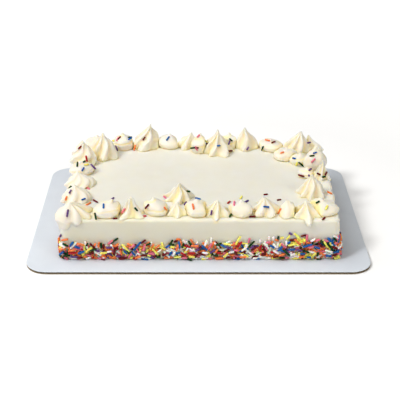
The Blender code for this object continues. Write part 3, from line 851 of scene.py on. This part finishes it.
# Dark rods stand out most in the photograph and are shown one by one, so those between them are mostly light
BAND_SHOWN_MOSTLY = ("dark_red", "blue", "green", "violet", "red")
BAND_BETWEEN = ("white", "white", "pink", "yellow", "orange")
BAND_BETWEEN_LIGHT = 0.75
SHOWN_BAND = {
    # rods that stand out in the photograph: pixel u and v, slope there in degrees, length there in pixels
    "dark_red": (
        (92.3, 246, -45, 7), (91, 253.5, 8, 6.5), (103.5, 246.8, 85, 5), (116, 248, 30, 5.5),
        (114.5, 252.5, 80, 7), (143.3, 242.2, 38, 6), (122.8, 258, 0, 9), (143.7, 255.5, 0, 7),
        (79.8, 257.6, 5, 6), (164.8, 254.7, 25, 6), (176, 241.5, 30, 5), (200.8, 247.3, 40, 4.5),
        (202.3, 254.2, -20, 7.5), (196.5, 256, 50, 5), (226.8, 250.9, 22, 6.5), (236, 253.5, -50, 5.5),
        (228, 257.7, 15, 4.5), (254.3, 249, 30, 7.5), (264.3, 249.7, -70, 8), (263.5, 255, 10, 5.5),
        (275.7, 257, 5, 6), (293.2, 240.2, 10, 7), (290.5, 247, 5, 7.5), (303.6, 236.2, 17, 5.5),
        (320.3, 245.3, -50, 6.5), (334.7, 248.2, -30, 6.5), (334.3, 255, 10, 5.5),
    ),
    "red": (
        (72.5, 252.8, 7, 8.5), (187.3, 247, -18, 7), (191.5, 253.3, -5, 8.5), (183.5, 254.5, -35, 7),
        (239.6, 245.2, 50, 7.5), (219, 253, 0, 5), (260.5, 248.5, 75, 6.5), (272, 252.7, -10, 4),
    ),
    "orange": (
        (65, 240, 17, 8), (80.5, 244.5, -15, 8), (62.5, 250.5, 15, 6.5), (72, 250.3, 10, 8),
        (98.8, 244.8, 80, 6), (117, 244.5, 43, 5), (129, 245, -30, 4.5), (121, 253.2, -70, 5),
        (138.3, 257.2, 20, 7), (152.7, 246.5, 60, 5), (157.5, 247, 40, 6), (178.5, 240, 0, 5),
        (181.3, 242.5, -70, 5), (177.3, 248.3, 75, 7), (192.3, 242.5, -55, 6), (195, 246.5, -3, 8),
        (233, 245.3, 25, 4.5), (216.5, 251.3, 50, 5), (243, 257.2, 3, 7), (255.7, 250, 63, 6),
        (263, 251.7, -30, 4), (277, 240.5, -10, 4.5), (281.5, 255, 15, 6.5), (297.7, 242.5, -40, 8),
        (322.3, 254, -30, 5.5), (301.7, 257, 10, 6),
    ),
    "yellow": (
        (89.7, 249.2, 30, 6), (103.5, 253.3, 5, 7), (125.5, 248.7, -46, 11), (155.3, 252, -45, 8.5),
        (172.7, 247.3, 0, 5), (191.8, 257, 0, 6.5), (177.5, 257.3, 4, 7.5), (227.2, 244.7, -10, 8),
        (238, 241, 58, 10), (225.8, 255.3, 42, 6.5), (282, 238.5, 20, 4), (291.7, 245.3, 12, 7),
        (296.3, 244.7, -15, 6.5), (297.8, 236.7, -45, 10), (288.5, 238, 48, 5.5), (326.2, 245, -55, 7.5),
        (314.5, 254.5, 40, 4.5),
    ),
    "white": (
        (109.3, 252, 10, 5), (184.3, 242.5, -50, 5), (188, 243.8, -50, 6), (205.8, 243.6, 70, 6),
        (205, 253, -8, 6), (174, 253.8, 60, 4.5), (231.5, 252.7, 10, 6), (244.3, 249.3, 40, 7),
        (260, 242.2, 80, 4.5), (269.2, 239, 88, 4.5), (273.5, 239, 80, 4), (274.8, 246, -45, 5),
        (276, 252.3, -32, 7), (286.4, 243.6, 87, 5.5), (313.2, 240.7, 32, 5.5), (328.5, 251.2, -18, 7.5),
        (292.7, 254.7, 20, 5.5),
    ),
    "green": (
        (66, 244.8, -20, 6.5), (87, 244.8, 60, 3.5), (93, 250, 12, 7.5), (101.1, 245.8, -87, 6),
        (113.9, 243, 35, 9.5), (128, 252, -45, 5), (148.3, 244.8, 25, 5.5), (66.5, 256, 12, 5),
        (158.5, 257, 10, 4.5), (171.5, 242.5, 60, 5), (171.5, 244.8, -10, 6.5), (183, 246, 70, 5.5),
        (189.7, 243.2, -50, 5), (218.7, 244.7, 20, 7), (251.5, 244.7, 46, 9), (278.3, 238.5, 80, 4),
        (286.7, 253, -43, 9), (282, 258, 0, 6), (323, 243.5, -55, 8.5), (330.6, 247.6, -52, 10),
        (335, 240.3, -45, 6), (306, 251, -24, 7.5), (317.7, 254.3, 75, 4.5),
    ),
    "blue": (
        (71.8, 243, 52, 6), (77.3, 247.2, -20, 6), (81.2, 252.4, 20, 7), (63.2, 254.4, 40, 7.5),
        (125.3, 253, -45, 5), (137, 247, 50, 12), (133.3, 253.7, -50, 5.5), (167.8, 246.7, 35, 5.5),
        (179.3, 245.3, -82, 7), (204.5, 248.2, -40, 7.5), (178, 253.3, 10, 5.5), (170.7, 254, 57, 5.5),
        (223.5, 246.5, -28, 7), (272.3, 247, -35, 5.5), (280.3, 249, 45, 6.5), (282, 251, -30, 6),
        (288.8, 242.8, 25, 4.5), (307.5, 245.6, 17, 10), (317.3, 248, -20, 6.5), (335.5, 252.5, 0, 6.5),
        (328.8, 256, -8, 6.5), (291.8, 250, 3, 7.5), (302.7, 254, 0, 5.5), (309, 257.5, 0, 4.5),
    ),
    "violet": (
        (59.5, 237.8, 50, 4.5), (109, 247.9, 0, 6.5), (97.5, 250.8, -30, 5), (118.3, 256.8, 0, 5),
        (74, 257.5, 0, 8), (197.3, 250.4, 30, 5.5), (229.2, 248.3, -25, 7), (212.7, 251.7, 32, 6.5),
        (252, 247.7, 33, 4.5), (290.7, 234.3, -25, 4), (299.5, 250.6, -10, 6.5),
    ),
    "pink": (
        (110.3, 242.8, 38, 6.5), (131.7, 247.2, 33, 6), (144.2, 248, 75, 7), (210, 246.8, 62, 7),
        (184.5, 258, 0, 6), (236, 250.7, -8, 5), (249.2, 241, 75, 5), (268.3, 243, 8, 5.5),
        (283.5, 246, -42, 6.5), (310.7, 247.3, 5, 6.5), (318.2, 240.3, 20, 5), (326.5, 241.3, -20, 4.5),
    ),
}
BAND_LOWEST = 0.03
BAND_RODS = 2700
BAND_CHOICES = 2
# Middling length, spread, shortest and longest, in mm
BAND_LENGTH = (7.8, 2.4, 4.0, 13.0)
BAND_SLOPE = 0.90
BAND_STRAYS = 0.01
BAND_STRAY_RISE = 1.5 * MM
BAND_RAGGED = 2.6 * MM
BAND_RAGGED_SCALE = 21 * MM
BAND_PATCH = 8.0 * MM
BAND_PATCHY = 0.3
BAND_UPRIGHT_RODS = 110
BAND_UPRIGHT_SHOWS = (0.8, 2.2)
BAND_UPRIGHT_LONGEST = 7 * MM
BAND_UPRIGHT_ASIDE = 0.6
BAND_UPRIGHT_UP = 0.5
BAND_DEEPEST = 2.1 * MM
BAND_ROD_RADIUS = 1.16 * MM
BAND_ROD_VARIES = (0.85, 1.10)
BAND_TILT = 0.25
BAND_TILT_VARIES = 0.06
BAND_BEND = 0.5 * MM
BAND_PRESSED = 0.75
MAP_CELL = 0.4 * MM
MAP_HEIGHT = 40 * MM
MAP_STEPS = np.linspace(-0.5, 0.5, 13)
ROD_STRIPS = (-0.8, -0.4, 0.0, 0.4, 0.8)
PROBE_OUT = 8 * MM


def side_length():
    """How long the block's side is, all the way round its foot."""
    return 2 * (CAKE_LENGTH + CAKE_WIDTH) - (8 - 2 * math.pi) * CAKE_CORNER_RADIUS


def band_place(rng):
    """A chance place on the unrolled side for a rod of the band: (s, rise, slope, length)."""
    s = rng.uniform(0, side_length())
    stations, rises = zip(*BAND_FRONT)
    top = BAND_HEIGHT + BAND_RAGGED * noise.noise(Vector((s / BAND_RAGGED_SCALE, 3.7, 0)))
    top += float(np.interp(s / MM, (*stations, stations[-1] + 30), (*rises, 0))) * MM
    rise = rng.uniform(BAND_LOWEST, 1) * top
    if rng.random() < BAND_STRAYS:
        rise = top + rng.expovariate(1 / BAND_STRAY_RISE)
    middling, spread, shortest, longest = BAND_LENGTH
    length = min(max(rng.gauss(middling, spread), shortest), longest) * MM
    lowest = max(0.0, CAKE_BOTTOM_Z + rise - BOARD_THICKNESS - BAND_ROD_RADIUS)
    steepest = math.asin(min(1.0, lowest * 2 / length))
    slope = max(-math.pi / 2, min(math.pi / 2, rng.gauss(0, BAND_SLOPE)))
    return s, max(rise, BAND_ROD_RADIUS), max(-steepest, min(steepest, slope)), length


def map_spots(filled, s, rise, slope, length, aside=0.0):
    """Cells of the map under a line on the unrolled side, or under one so far aside of it."""
    run = MAP_STEPS * length
    across = (s + run * math.cos(slope) - aside * math.sin(slope)) / MAP_CELL
    up = (rise + run * math.sin(slope) + aside * math.cos(slope)) / MAP_CELL
    return np.floor(across).astype(int) % filled.shape[0], np.clip(up.astype(int), 0, filled.shape[1] - 1)


def sprinkle_band(heap, tree, rng):
    """The ragged band round the lower sides: rods pressed into the frosting, and more that rest on them.

    Every rod is laid where it lies deepest of a few places tried, so that no gaps are left. Returns the map.
    """
    filled = np.zeros((int(side_length() / MAP_CELL) + 1, int(MAP_HEIGHT / MAP_CELL)))
    patches = {}
    for _ in range(BAND_RODS):
        tried = []
        for _ in range(BAND_CHOICES):
            spot = band_place(rng)
            under = filled[map_spots(filled, *spot)]
            tried.append((under.max(), spot, under))
        lift, (s, rise, slope, length), under = min(tried, key=lambda t: t[0])
        if lift > BAND_DEEPEST:
            continue
        radius = BAND_ROD_RADIUS * rng.uniform(*BAND_ROD_VARIES)
        half = len(MAP_STEPS) // 2
        first, second = under[:half].max(), under[-half:].max()
        tilt = max(-BAND_TILT, min(BAND_TILT, (second - first) / (length / 2)))
        tilt += rng.uniform(-1, 1) * BAND_TILT_VARIES
        high = BAND_PRESSED * (lift - abs(second - first) / 2) + radius * (1 - 2 * SPRINKLE_SUNK)
        for share in ROD_STRIPS:
            spots = map_spots(filled, s, rise, slope, length, share * radius)
            crown = high + radius * math.sqrt(1 - share ** 2) + tilt * MAP_STEPS * length
            filled[spots] = np.maximum(filled[spots], crown)
        place, outward, sideways = side_surface(tree, s, CAKE_BOTTOM_Z + rise)
        along = sideways * math.cos(slope) + Vector((0, 0, math.sin(slope))) + outward * tilt
        patch = int(s / BAND_PATCH), int(rise / BAND_PATCH)
        if patch not in patches or rng.random() > BAND_PATCHY:
            patches[patch] = random_colour(rng)
            if s < CAKE_LENGTH and patches[patch] in BAND_SHOWN_MOSTLY and rng.random() < BAND_BETWEEN_LIGHT:
                patches[patch] = rng.choice(BAND_BETWEEN)
        bend = rng.uniform(-1, 1) * BAND_BEND
        heap.add(patches[patch], place + outward * high, along, length, radius, bend, outward)
    return filled


def upright_rods(heap, tree, filled, rng):
    """Rods of the band that stick out of it, end on."""
    for _ in range(BAND_UPRIGHT_RODS):
        s, rise, _, length = band_place(rng)
        length = min(length, BAND_UPRIGHT_LONGEST)
        under = filled[map_spots(filled, s, rise, 0.0, 2 * BAND_ROD_RADIUS)].max()
        lowest = BOARD_THICKNESS + 2.5 * BAND_ROD_RADIUS
        place, outward, _ = side_surface(tree, s, max(CAKE_BOTTOM_Z + rise, lowest))
        aside_x, aside_y = (rng.uniform(-1, 1) * BAND_UPRIGHT_ASIDE for _ in range(2))
        along = (outward + Vector((aside_x, aside_y, rng.uniform(0.0, BAND_UPRIGHT_UP)))).normalized()
        out = min(under, BAND_DEEPEST) + rng.uniform(*BAND_UPRIGHT_SHOWS) * MM
        centre = place + outward * out - along * length / 2
        heap.add(random_colour(rng), centre, along, length, BAND_ROD_RADIUS, 0, (0, 0, 1))


def shown_band_rod(heap, tree, filled, colour, u, v, slope, length):
    """Lay a rod of the band where the photograph shows it, on top of those beneath."""
    rays = end_rays(u, v, slope, length)
    out = BAND_SHOWN_OUT
    for _ in range(2):
        front = CAKE_CENTRE.y - CAKE_WIDTH / 2 - out
        ends = [CAMERA_PLACE + ray * ((front - CAMERA_PLACE.y) / ray.y) for ray in rays]
        middle = (ends[0] + ends[1]) / 2
        along = ends[1] - ends[0]
        s = (middle.x - CAKE_CENTRE.x + CAKE_LENGTH / 2 - CAKE_CORNER_RADIUS) % side_length()
        rise = max(middle.z, BOARD_THICKNESS + BAND_ROD_RADIUS + abs(along.z) / 2) - CAKE_BOTTOM_Z
        under = map_spots(filled, s, rise, math.asin(along.z / along.length), along.length)
        out = filled[under].max() + BAND_ROD_RADIUS * (1 - 2 * SPRINKLE_SUNK)
    place, outward, sideways = side_surface(tree, s, CAKE_BOTTOM_Z + rise)
    turned = sideways * along.x + Vector((0, 0, along.z))
    heap.add(colour, place + outward * out, turned, along.length, BAND_ROD_RADIUS, 0, outward)


def fallen_sprinkles(heap, rng):
    """A few rods at the foot of the sides, lying on the board against the band."""
    for k in range(FALLEN_RODS):
        s = (k + rng.uniform(-0.4, 0.4)) % FALLEN_RODS * side_length() / FALLEN_RODS
        foot, outward = round_the_side(s)
        sideways = Vector((-outward.y, outward.x, 0))
        angle = rng.gauss(0, FALLEN_ANGLE)
        along = sideways * math.cos(angle) + outward * math.sin(angle)
        length = rng.uniform(*FALLEN_LENGTH)
        out = rng.uniform(*FALLEN_OUT) + abs(math.sin(angle)) * length / 2
        centre = foot + outward * out
        centre.z = BOARD_THICKNESS + SPRINKLE_RADIUS
        colour, bend = random_colour(rng), rng.uniform(-1, 1) * FALLEN_BEND
        heap.add(colour, centre, along, length, SPRINKLE_RADIUS, bend, (0, 0, 1))


# Board

def board_plate(name, low, high, inset):
    """A flat sheet of the board, its top edge pressed down a little where it was cut."""
    rows = [(inset, low), (inset, high)]
    if name == "board_top":
        steps = (0, *LINER_DROP_STEPS)
        rows[1:] = [(inset + LINER_DROP_WIDTH * s, high - LINER_DROP * (1 - s) ** 2) for s in steps]
    half_x, half_y = BOARD_LENGTH / 2, BOARD_WIDTH / 2
    points = []
    for own, z in rows:
        ring, _ = rounded_outline(half_x - own, half_y - own, BOARD_CORNER_RADIUS - own, *BOARD_OUTLINE_STEPS)
        points.append(np.column_stack([ring, np.full(len(ring), z)]))
    faces = tube_faces(len(points), len(points[0]), True, True)
    return make_mesh(name, np.concatenate(points), faces, smooth=False)


def board_half_width(x, inset):
    """How far the board reaches along Y at a place along X, less an inset."""
    half = BOARD_WIDTH / 2
    over = abs(x) - (BOARD_LENGTH / 2 - BOARD_CORNER_RADIUS)
    if over <= 0:
        return half - inset
    return half - BOARD_CORNER_RADIUS + math.sqrt(max(0.0, (BOARD_CORNER_RADIUS - inset) ** 2 - over ** 2))


def make_flutes():
    """The wavy sheet between the board's two liners, which shows at the cut edges."""
    reach = BOARD_LENGTH / 2 - FLUTES_INSET - 0.2 * MM
    count = round(2 * reach / FLUTE_PITCH * FLUTE_STEPS)
    middle = BOARD_THICKNESS / 2
    swing = middle - LINER - FLUTE_SHEET / 2 - 0.05 * MM
    rows = []
    for k in range(count + 1):
        x = -reach + 2 * reach * k / count
        y = board_half_width(x, FLUTES_INSET)
        z = middle + swing * math.sin(2 * math.pi * x / FLUTE_PITCH)
        rows.append([(x, side * y, z + face * FLUTE_SHEET / 2) for face in (-1, 1) for side in (-1, 1)])
    points = [p for row in rows for p in row]
    faces = []
    for k in range(count):
        a, b = 4 * k, 4 * (k + 1)
        faces += [(a, a + 1, b + 1, b), (a + 2, b + 2, b + 3, a + 3)]
        faces += [(a, b, b + 2, a + 2), (a + 1, a + 3, b + 3, b + 1)]
    faces += [(0, 2, 3, 1), (4 * count, 4 * count + 1, 4 * count + 3, 4 * count + 2)]
    return make_mesh("board_flutes", points, faces, smooth=False)


# Materials

def new_material(name, roughness, specular):
    """A material with its tree, its shader and a node that gives places in metres."""
    material = bpy.data.materials.new(name)
    material.use_nodes = True
    tree = material.node_tree
    shader = tree.nodes["Principled BSDF"]
    shader.inputs["Roughness"].default_value = roughness
    shader.inputs["Specular IOR Level"].default_value = specular
    place = tree.nodes.new("ShaderNodeTexCoord").outputs["Object"]
    return material, tree, shader, place


def noise_node(tree, place, scale, detail=3, stretch=(1, 1, 1)):
    """Noise with features of about 1/scale metres, drawn out along an axis by stretch below 1."""
    mapping = tree.nodes.new("ShaderNodeMapping")
    mapping.inputs["Scale"].default_value = stretch
    texture = tree.nodes.new("ShaderNodeTexNoise")
    texture.inputs["Scale"].default_value = scale
    texture.inputs["Detail"].default_value = detail
    tree.links.new(place, mapping.inputs["Vector"])
    tree.links.new(mapping.outputs["Vector"], texture.inputs["Vector"])
    return texture.outputs["Fac"]


def mix_colours(tree, factor, low, high, start=0.0, end=1.0):
    """A colour that runs from low to high as the factor runs from start to end."""
    ramp = tree.nodes.new("ShaderNodeValToRGB")
    ramp.color_ramp.elements[0].position = start
    ramp.color_ramp.elements[1].position = end
    ramp.color_ramp.elements[0].color = (*low, 1)
    ramp.color_ramp.elements[1].color = (*high, 1)
    tree.links.new(factor, ramp.inputs["Fac"])
    return ramp.outputs["Color"]


def blend_by_attribute(tree, attribute, below, colour, blend_type):
    """A colour blended over another as much as a mesh attribute says."""
    amount = tree.nodes.new("ShaderNodeAttribute")
    amount.attribute_name = attribute
    mix = tree.nodes.new("ShaderNodeMix")
    mix.data_type = "RGBA"
    mix.blend_type = blend_type
    mix.inputs[7].default_value = (*colour, 1)
    tree.links.new(amount.outputs["Fac"], mix.inputs["Factor"])
    tree.links.new(below, mix.inputs[6])
    return mix.outputs[2]


def add_bump(tree, shader, heights, distance):
    """Fine relief from the sum of (height socket, strength) pairs."""
    normal = None
    for height, strength in heights:
        bump = tree.nodes.new("ShaderNodeBump")
        bump.inputs["Distance"].default_value = distance
        bump.inputs["Strength"].default_value = strength
        tree.links.new(height, bump.inputs["Height"])
        if normal is not None:
            tree.links.new(normal, bump.inputs["Normal"])
        normal = bump.outputs["Normal"]
    tree.links.new(normal, shader.inputs["Normal"])


FROSTING_LIGHT = (0.757, 0.741, 0.667)
FROSTING_WARM = (0.743, 0.721, 0.627)
PIPED_LIGHT = (0.803, 0.762, 0.690)
PIPED_WARM = (0.793, 0.741, 0.630)
# painted golden shade, for grooves, folds, the pieces' feet and the gaps between the band's rods
PAINTED_SHADE_GOLD = (0.97, 0.82, 0.42)
# painted shade, multiplied over the block's sides
SIDE_SHADE_COLOUR = (0.945, 0.94, 0.89)
FROSTING_GLOW = (1.0, 0.84, 0.55)
SPRINKLE_DARKER = 0.80
SPRINKLE_PALER = 1.2


def frosting_material(name, light, warm, stretch):
    """Buttercream: soft, slightly translucent, a little uneven in tone, with painted golden shade in its folds
    and painted shade on its sides.
    """
    material, tree, shader, place = new_material(name, roughness=0.52, specular=0.35)
    shader.inputs["Subsurface Weight"].default_value = 0.85
    shader.inputs["Subsurface Radius"].default_value = FROSTING_GLOW
    shader.inputs["Subsurface Scale"].default_value = 7.0 * MM
    patches = noise_node(tree, place, scale=45, detail=4)
    tone = mix_colours(tree, patches, warm, light, start=0.35, end=0.65)
    # painted golden shade in grooves, folds, at the pieces' feet and between the band's rods
    golden = blend_by_attribute(tree, "crevice_shade", tone, PAINTED_SHADE_GOLD, "MIX")
    # painted shade multiplied over the block's sides
    painted_side_shade = blend_by_attribute(tree, "side", golden, SIDE_SHADE_COLOUR, "MULTIPLY")
    tree.links.new(painted_side_shade, shader.inputs["Base Color"])
    strokes = noise_node(tree, place, scale=260, detail=5, stretch=stretch)
    grain = noise_node(tree, place, scale=1500)
    add_bump(tree, shader, ((strokes, 0.18), (grain, 0.10)), distance=0.4 * MM)
    return material


def sprinkle_material(name, colour):
    """Coloured sugar: a slight sheen, with a tone that varies from rod to rod and along each."""
    material, tree, shader, place = new_material(name, roughness=0.38, specular=0.12)
    shader.inputs["Subsurface Weight"].default_value = 0.4
    shader.inputs["Subsurface Scale"].default_value = 1.0 * MM
    patches = noise_node(tree, place, scale=320)
    dark = tuple(c * SPRINKLE_DARKER for c in colour)
    pale = tuple(min(1.0, c * SPRINKLE_PALER + 0.01) for c in colour)
    tree.links.new(mix_colours(tree, patches, dark, pale, start=0.3, end=0.7), shader.inputs["Base Color"])
    grain = noise_node(tree, place, scale=2600)
    add_bump(tree, shader, ((grain, 0.12),), distance=0.2 * MM)
    return material


def coated_material():
    """The board's white coated face: smooth, faintly mottled, with a slight sheen."""
    material, tree, shader, place = new_material("coated_white", roughness=0.42, specular=0.4)
    patches = noise_node(tree, place, scale=60, detail=5)
    colour = mix_colours(tree, patches, COATED_DARK, COATED_LIGHT, start=0.3, end=0.7)
    tree.links.new(colour, shader.inputs["Base Color"])
    fibre = noise_node(tree, place, scale=900, detail=4, stretch=(1, 0.35, 1))
    add_bump(tree, shader, ((fibre, 0.06),), distance=0.1 * MM)
    return material


def kraft_material():
    """Brown paper: mottled with fibres."""
    material, tree, shader, place = new_material("kraft", roughness=0.85, specular=0.2)
    fibres = noise_node(tree, place, scale=700, detail=6, stretch=(1, 1, 0.4))
    colour = mix_colours(tree, fibres, KRAFT_DARK, KRAFT_LIGHT, start=0.3, end=0.7)
    tree.links.new(colour, shader.inputs["Base Color"])
    grain = noise_node(tree, place, scale=1800, detail=4)
    add_bump(tree, shader, ((grain, 0.3),), distance=0.15 * MM)
    return material


def stage_material():
    """The white sweep under the cake, whiter away from it because it glows more there: painted light."""
    material, tree, shader, place = new_material("stage_white", roughness=0.9, specular=0.1)
    soft = noise_node(tree, place, scale=2, detail=1)
    tree.links.new(mix_colours(tree, soft, FLOOR_DARK, FLOOR_LIGHT), shader.inputs["Base Color"])
    # painted light: the floor glows, faintly near the cake and more away from it
    shader.inputs["Emission Color"].default_value = (1, 1, 1, 1)
    away = tree.nodes.new("ShaderNodeVectorMath")
    away.operation = "LENGTH"
    tree.links.new(place, away.inputs[0])
    glow = tree.nodes.new("ShaderNodeMapRange")
    glow.inputs["From Min"].default_value, glow.inputs["From Max"].default_value = FLOOR_GLOW_REACH
    glow.inputs["To Min"].default_value, glow.inputs["To Max"].default_value = FLOOR_GLOW
    tree.links.new(away.outputs["Value"], glow.inputs["Value"])
    tree.links.new(glow.outputs["Result"], shader.inputs["Emission Strength"])
    return material


# Stage

KEY_PLACE = Vector((-0.612, -0.354, 0.707)).normalized() * 4.8
LIGHTS = {
    # place and width in metres, power in watts, colour
    "key": (KEY_PLACE, 1.08, 123.0, (1.0, 0.993, 0.98)),
    "overhead": ((0.0, -0.1, 1.9), 2.2, 14.3, (1.0, 0.995, 0.985)),
    "upper_left": ((-1.1, 0.3, 1.6), 1.6, 16.0, (1.0, 0.995, 0.985)),
    "fill": ((2.1, -2.4, 1.6), 2.0, 43.0, (1.0, 0.975, 0.91)),
}
SKY_STRENGTH = 0.019
# painted light: the floor's glow near the cake and far from it
FLOOR_GLOW = (0.055, 0.41)
FLOOR_GLOW_REACH = (0.30, 0.95)
FLOOR_SIZE = 12
FLOOR_Z = -0.02 * MM
FLOOR_DARK = (0.90, 0.90, 0.90)
FLOOR_LIGHT = (0.91, 0.91, 0.91)


def area_light(name, place, size, power, colour):
    """A soft light that points at the cake."""
    light = bpy.data.lights.new(name, "AREA")
    light.shape = "DISK"
    light.size = size
    light.energy = power
    light.color = colour
    obj = bpy.data.objects.new(name, light)
    obj.location = place
    obj.rotation_euler = (Vector((0, 0, 0.03)) - Vector(place)).to_track_quat("-Z", "Y").to_euler()
    obj.visible_camera = False
    bpy.context.scene.collection.objects.link(obj)


def make_stage():
    """White floor, soft studio light and the camera at the photograph's angle."""
    half = FLOOR_SIZE / 2
    corners = [(x * half, y * half, FLOOR_Z) for x, y in ((-1, -1), (1, -1), (1, 1), (-1, 1))]
    floor = make_mesh("floor", corners, [(0, 1, 2, 3)], smooth=False)
    floor.data.materials.append(stage_material())
    for name, light in LIGHTS.items():
        area_light(name, *light)
    world = bpy.data.worlds.new("studio")
    world.use_nodes = True
    world.node_tree.nodes["Background"].inputs["Color"].default_value = (1, 1, 1, 1)
    world.node_tree.nodes["Background"].inputs["Strength"].default_value = SKY_STRENGTH
    bpy.context.scene.world = world
    bpy.context.scene.view_settings.view_transform = "Standard"
    bpy.context.scene.view_settings.look = "None"
    data = bpy.data.cameras.new("camera")
    data.sensor_width = SENSOR_MM
    data.lens = FOCAL_PIXELS / PHOTO_PIXELS * SENSOR_MM
    data.shift_x = (PHOTO_PIXELS / 2 - OPTICAL_AXIS_PIXEL[0]) / PHOTO_PIXELS
    data.shift_y = (OPTICAL_AXIS_PIXEL[1] - PHOTO_PIXELS / 2) / PHOTO_PIXELS
    camera = bpy.data.objects.new("camera", data)
    camera.location = CAMERA_PLACE
    camera.rotation_euler = (math.pi / 2 - CAMERA_PITCH, 0, 0)
    bpy.context.scene.collection.objects.link(camera)
    bpy.context.scene.camera = camera


# Assembly

def dress(obj, material, slot, *nodes):
    """Give a piece its material, ride it on the cake's one body, and let it replace CAD nodes. The slot is not
    used.
    """
    obj.data.materials.append(material)
    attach(obj, "root")
    if nodes:
        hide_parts(*nodes)


def surface_tree(objects):
    """One tree of every surface in a list, to lay sprinkles on."""
    points, faces = [], []
    for obj in objects:
        base = len(points)
        points += [v.co.copy() for v in obj.data.vertices]
        faces += [[base + k for k in p.vertices] for p in obj.data.polygons if len(p.vertices) < 5]
    return BVHTree.FromPolygons(points, faces)


def main():
    """Build every piece of the cake and its stage."""
    rng = random.Random(RANDOM_SEED)
    make_stage()
    frosting = frosting_material("buttercream", FROSTING_LIGHT, FROSTING_WARM, (0.15, 0.15, 1))
    piped = frosting_material("piped_buttercream", PIPED_LIGHT, PIPED_WARM, (1, 1, 0.5))
    block = make_block()
    dress(block, frosting, "frosting", "cake")
    pieces = [piece for row in BORDER.values() for piece in row]
    outlines, shapes = [], [block]
    for side, row in BORDER.items():
        for number, piece in enumerate(row, start=1):
            node = f"{side}_{piece.kind}_{number:02d}"
            obj, outline = make_piped(f"piped_{node}", piece, pieces, random.Random(f"{RANDOM_SEED} {node}"))
            dress(obj, piped, "piped_frosting", node)
            outlines.append((piece, outline))
            shapes.append(obj)
    shade_block(block, outlines)

    heap, tree, block_tree = RodHeap(), surface_tree(shapes), surface_tree([block])
    for sprinkle in SHOWN_SPRINKLES:
        shown_sprinkle(heap, tree, *sprinkle, rng)
    for piece in pieces:
        for _ in range(HIDDEN_TRIES):
            hidden_sprinkle(heap, tree, piece, rng)
    filled = sprinkle_band(heap, block_tree, rng)
    upright_rods(heap, block_tree, filled, rng)
    for colour, rods in SHOWN_BAND.items():
        for rod in rods:
            shown_band_rod(heap, block_tree, filled, colour, *rod)
    fallen_sprinkles(heap, rng)
    for colour, obj in heap.build().items():
        tint, _ = SPRINKLE_COLOURS[colour]
        dress(obj, sprinkle_material(f"sugar_{colour}", tint), "sprinkles")

    top = board_plate("board_top", BOARD_THICKNESS - LINER, BOARD_THICKNESS, 0)
    bottom = board_plate("board_bottom", 0, LINER, 0.1 * MM)
    dress(top, coated_material(), "coated_board", "cake_board")
    kraft = kraft_material()
    for obj in (bottom, make_flutes()):
        dress(obj, kraft, "coated_board", "cake_board")


main()
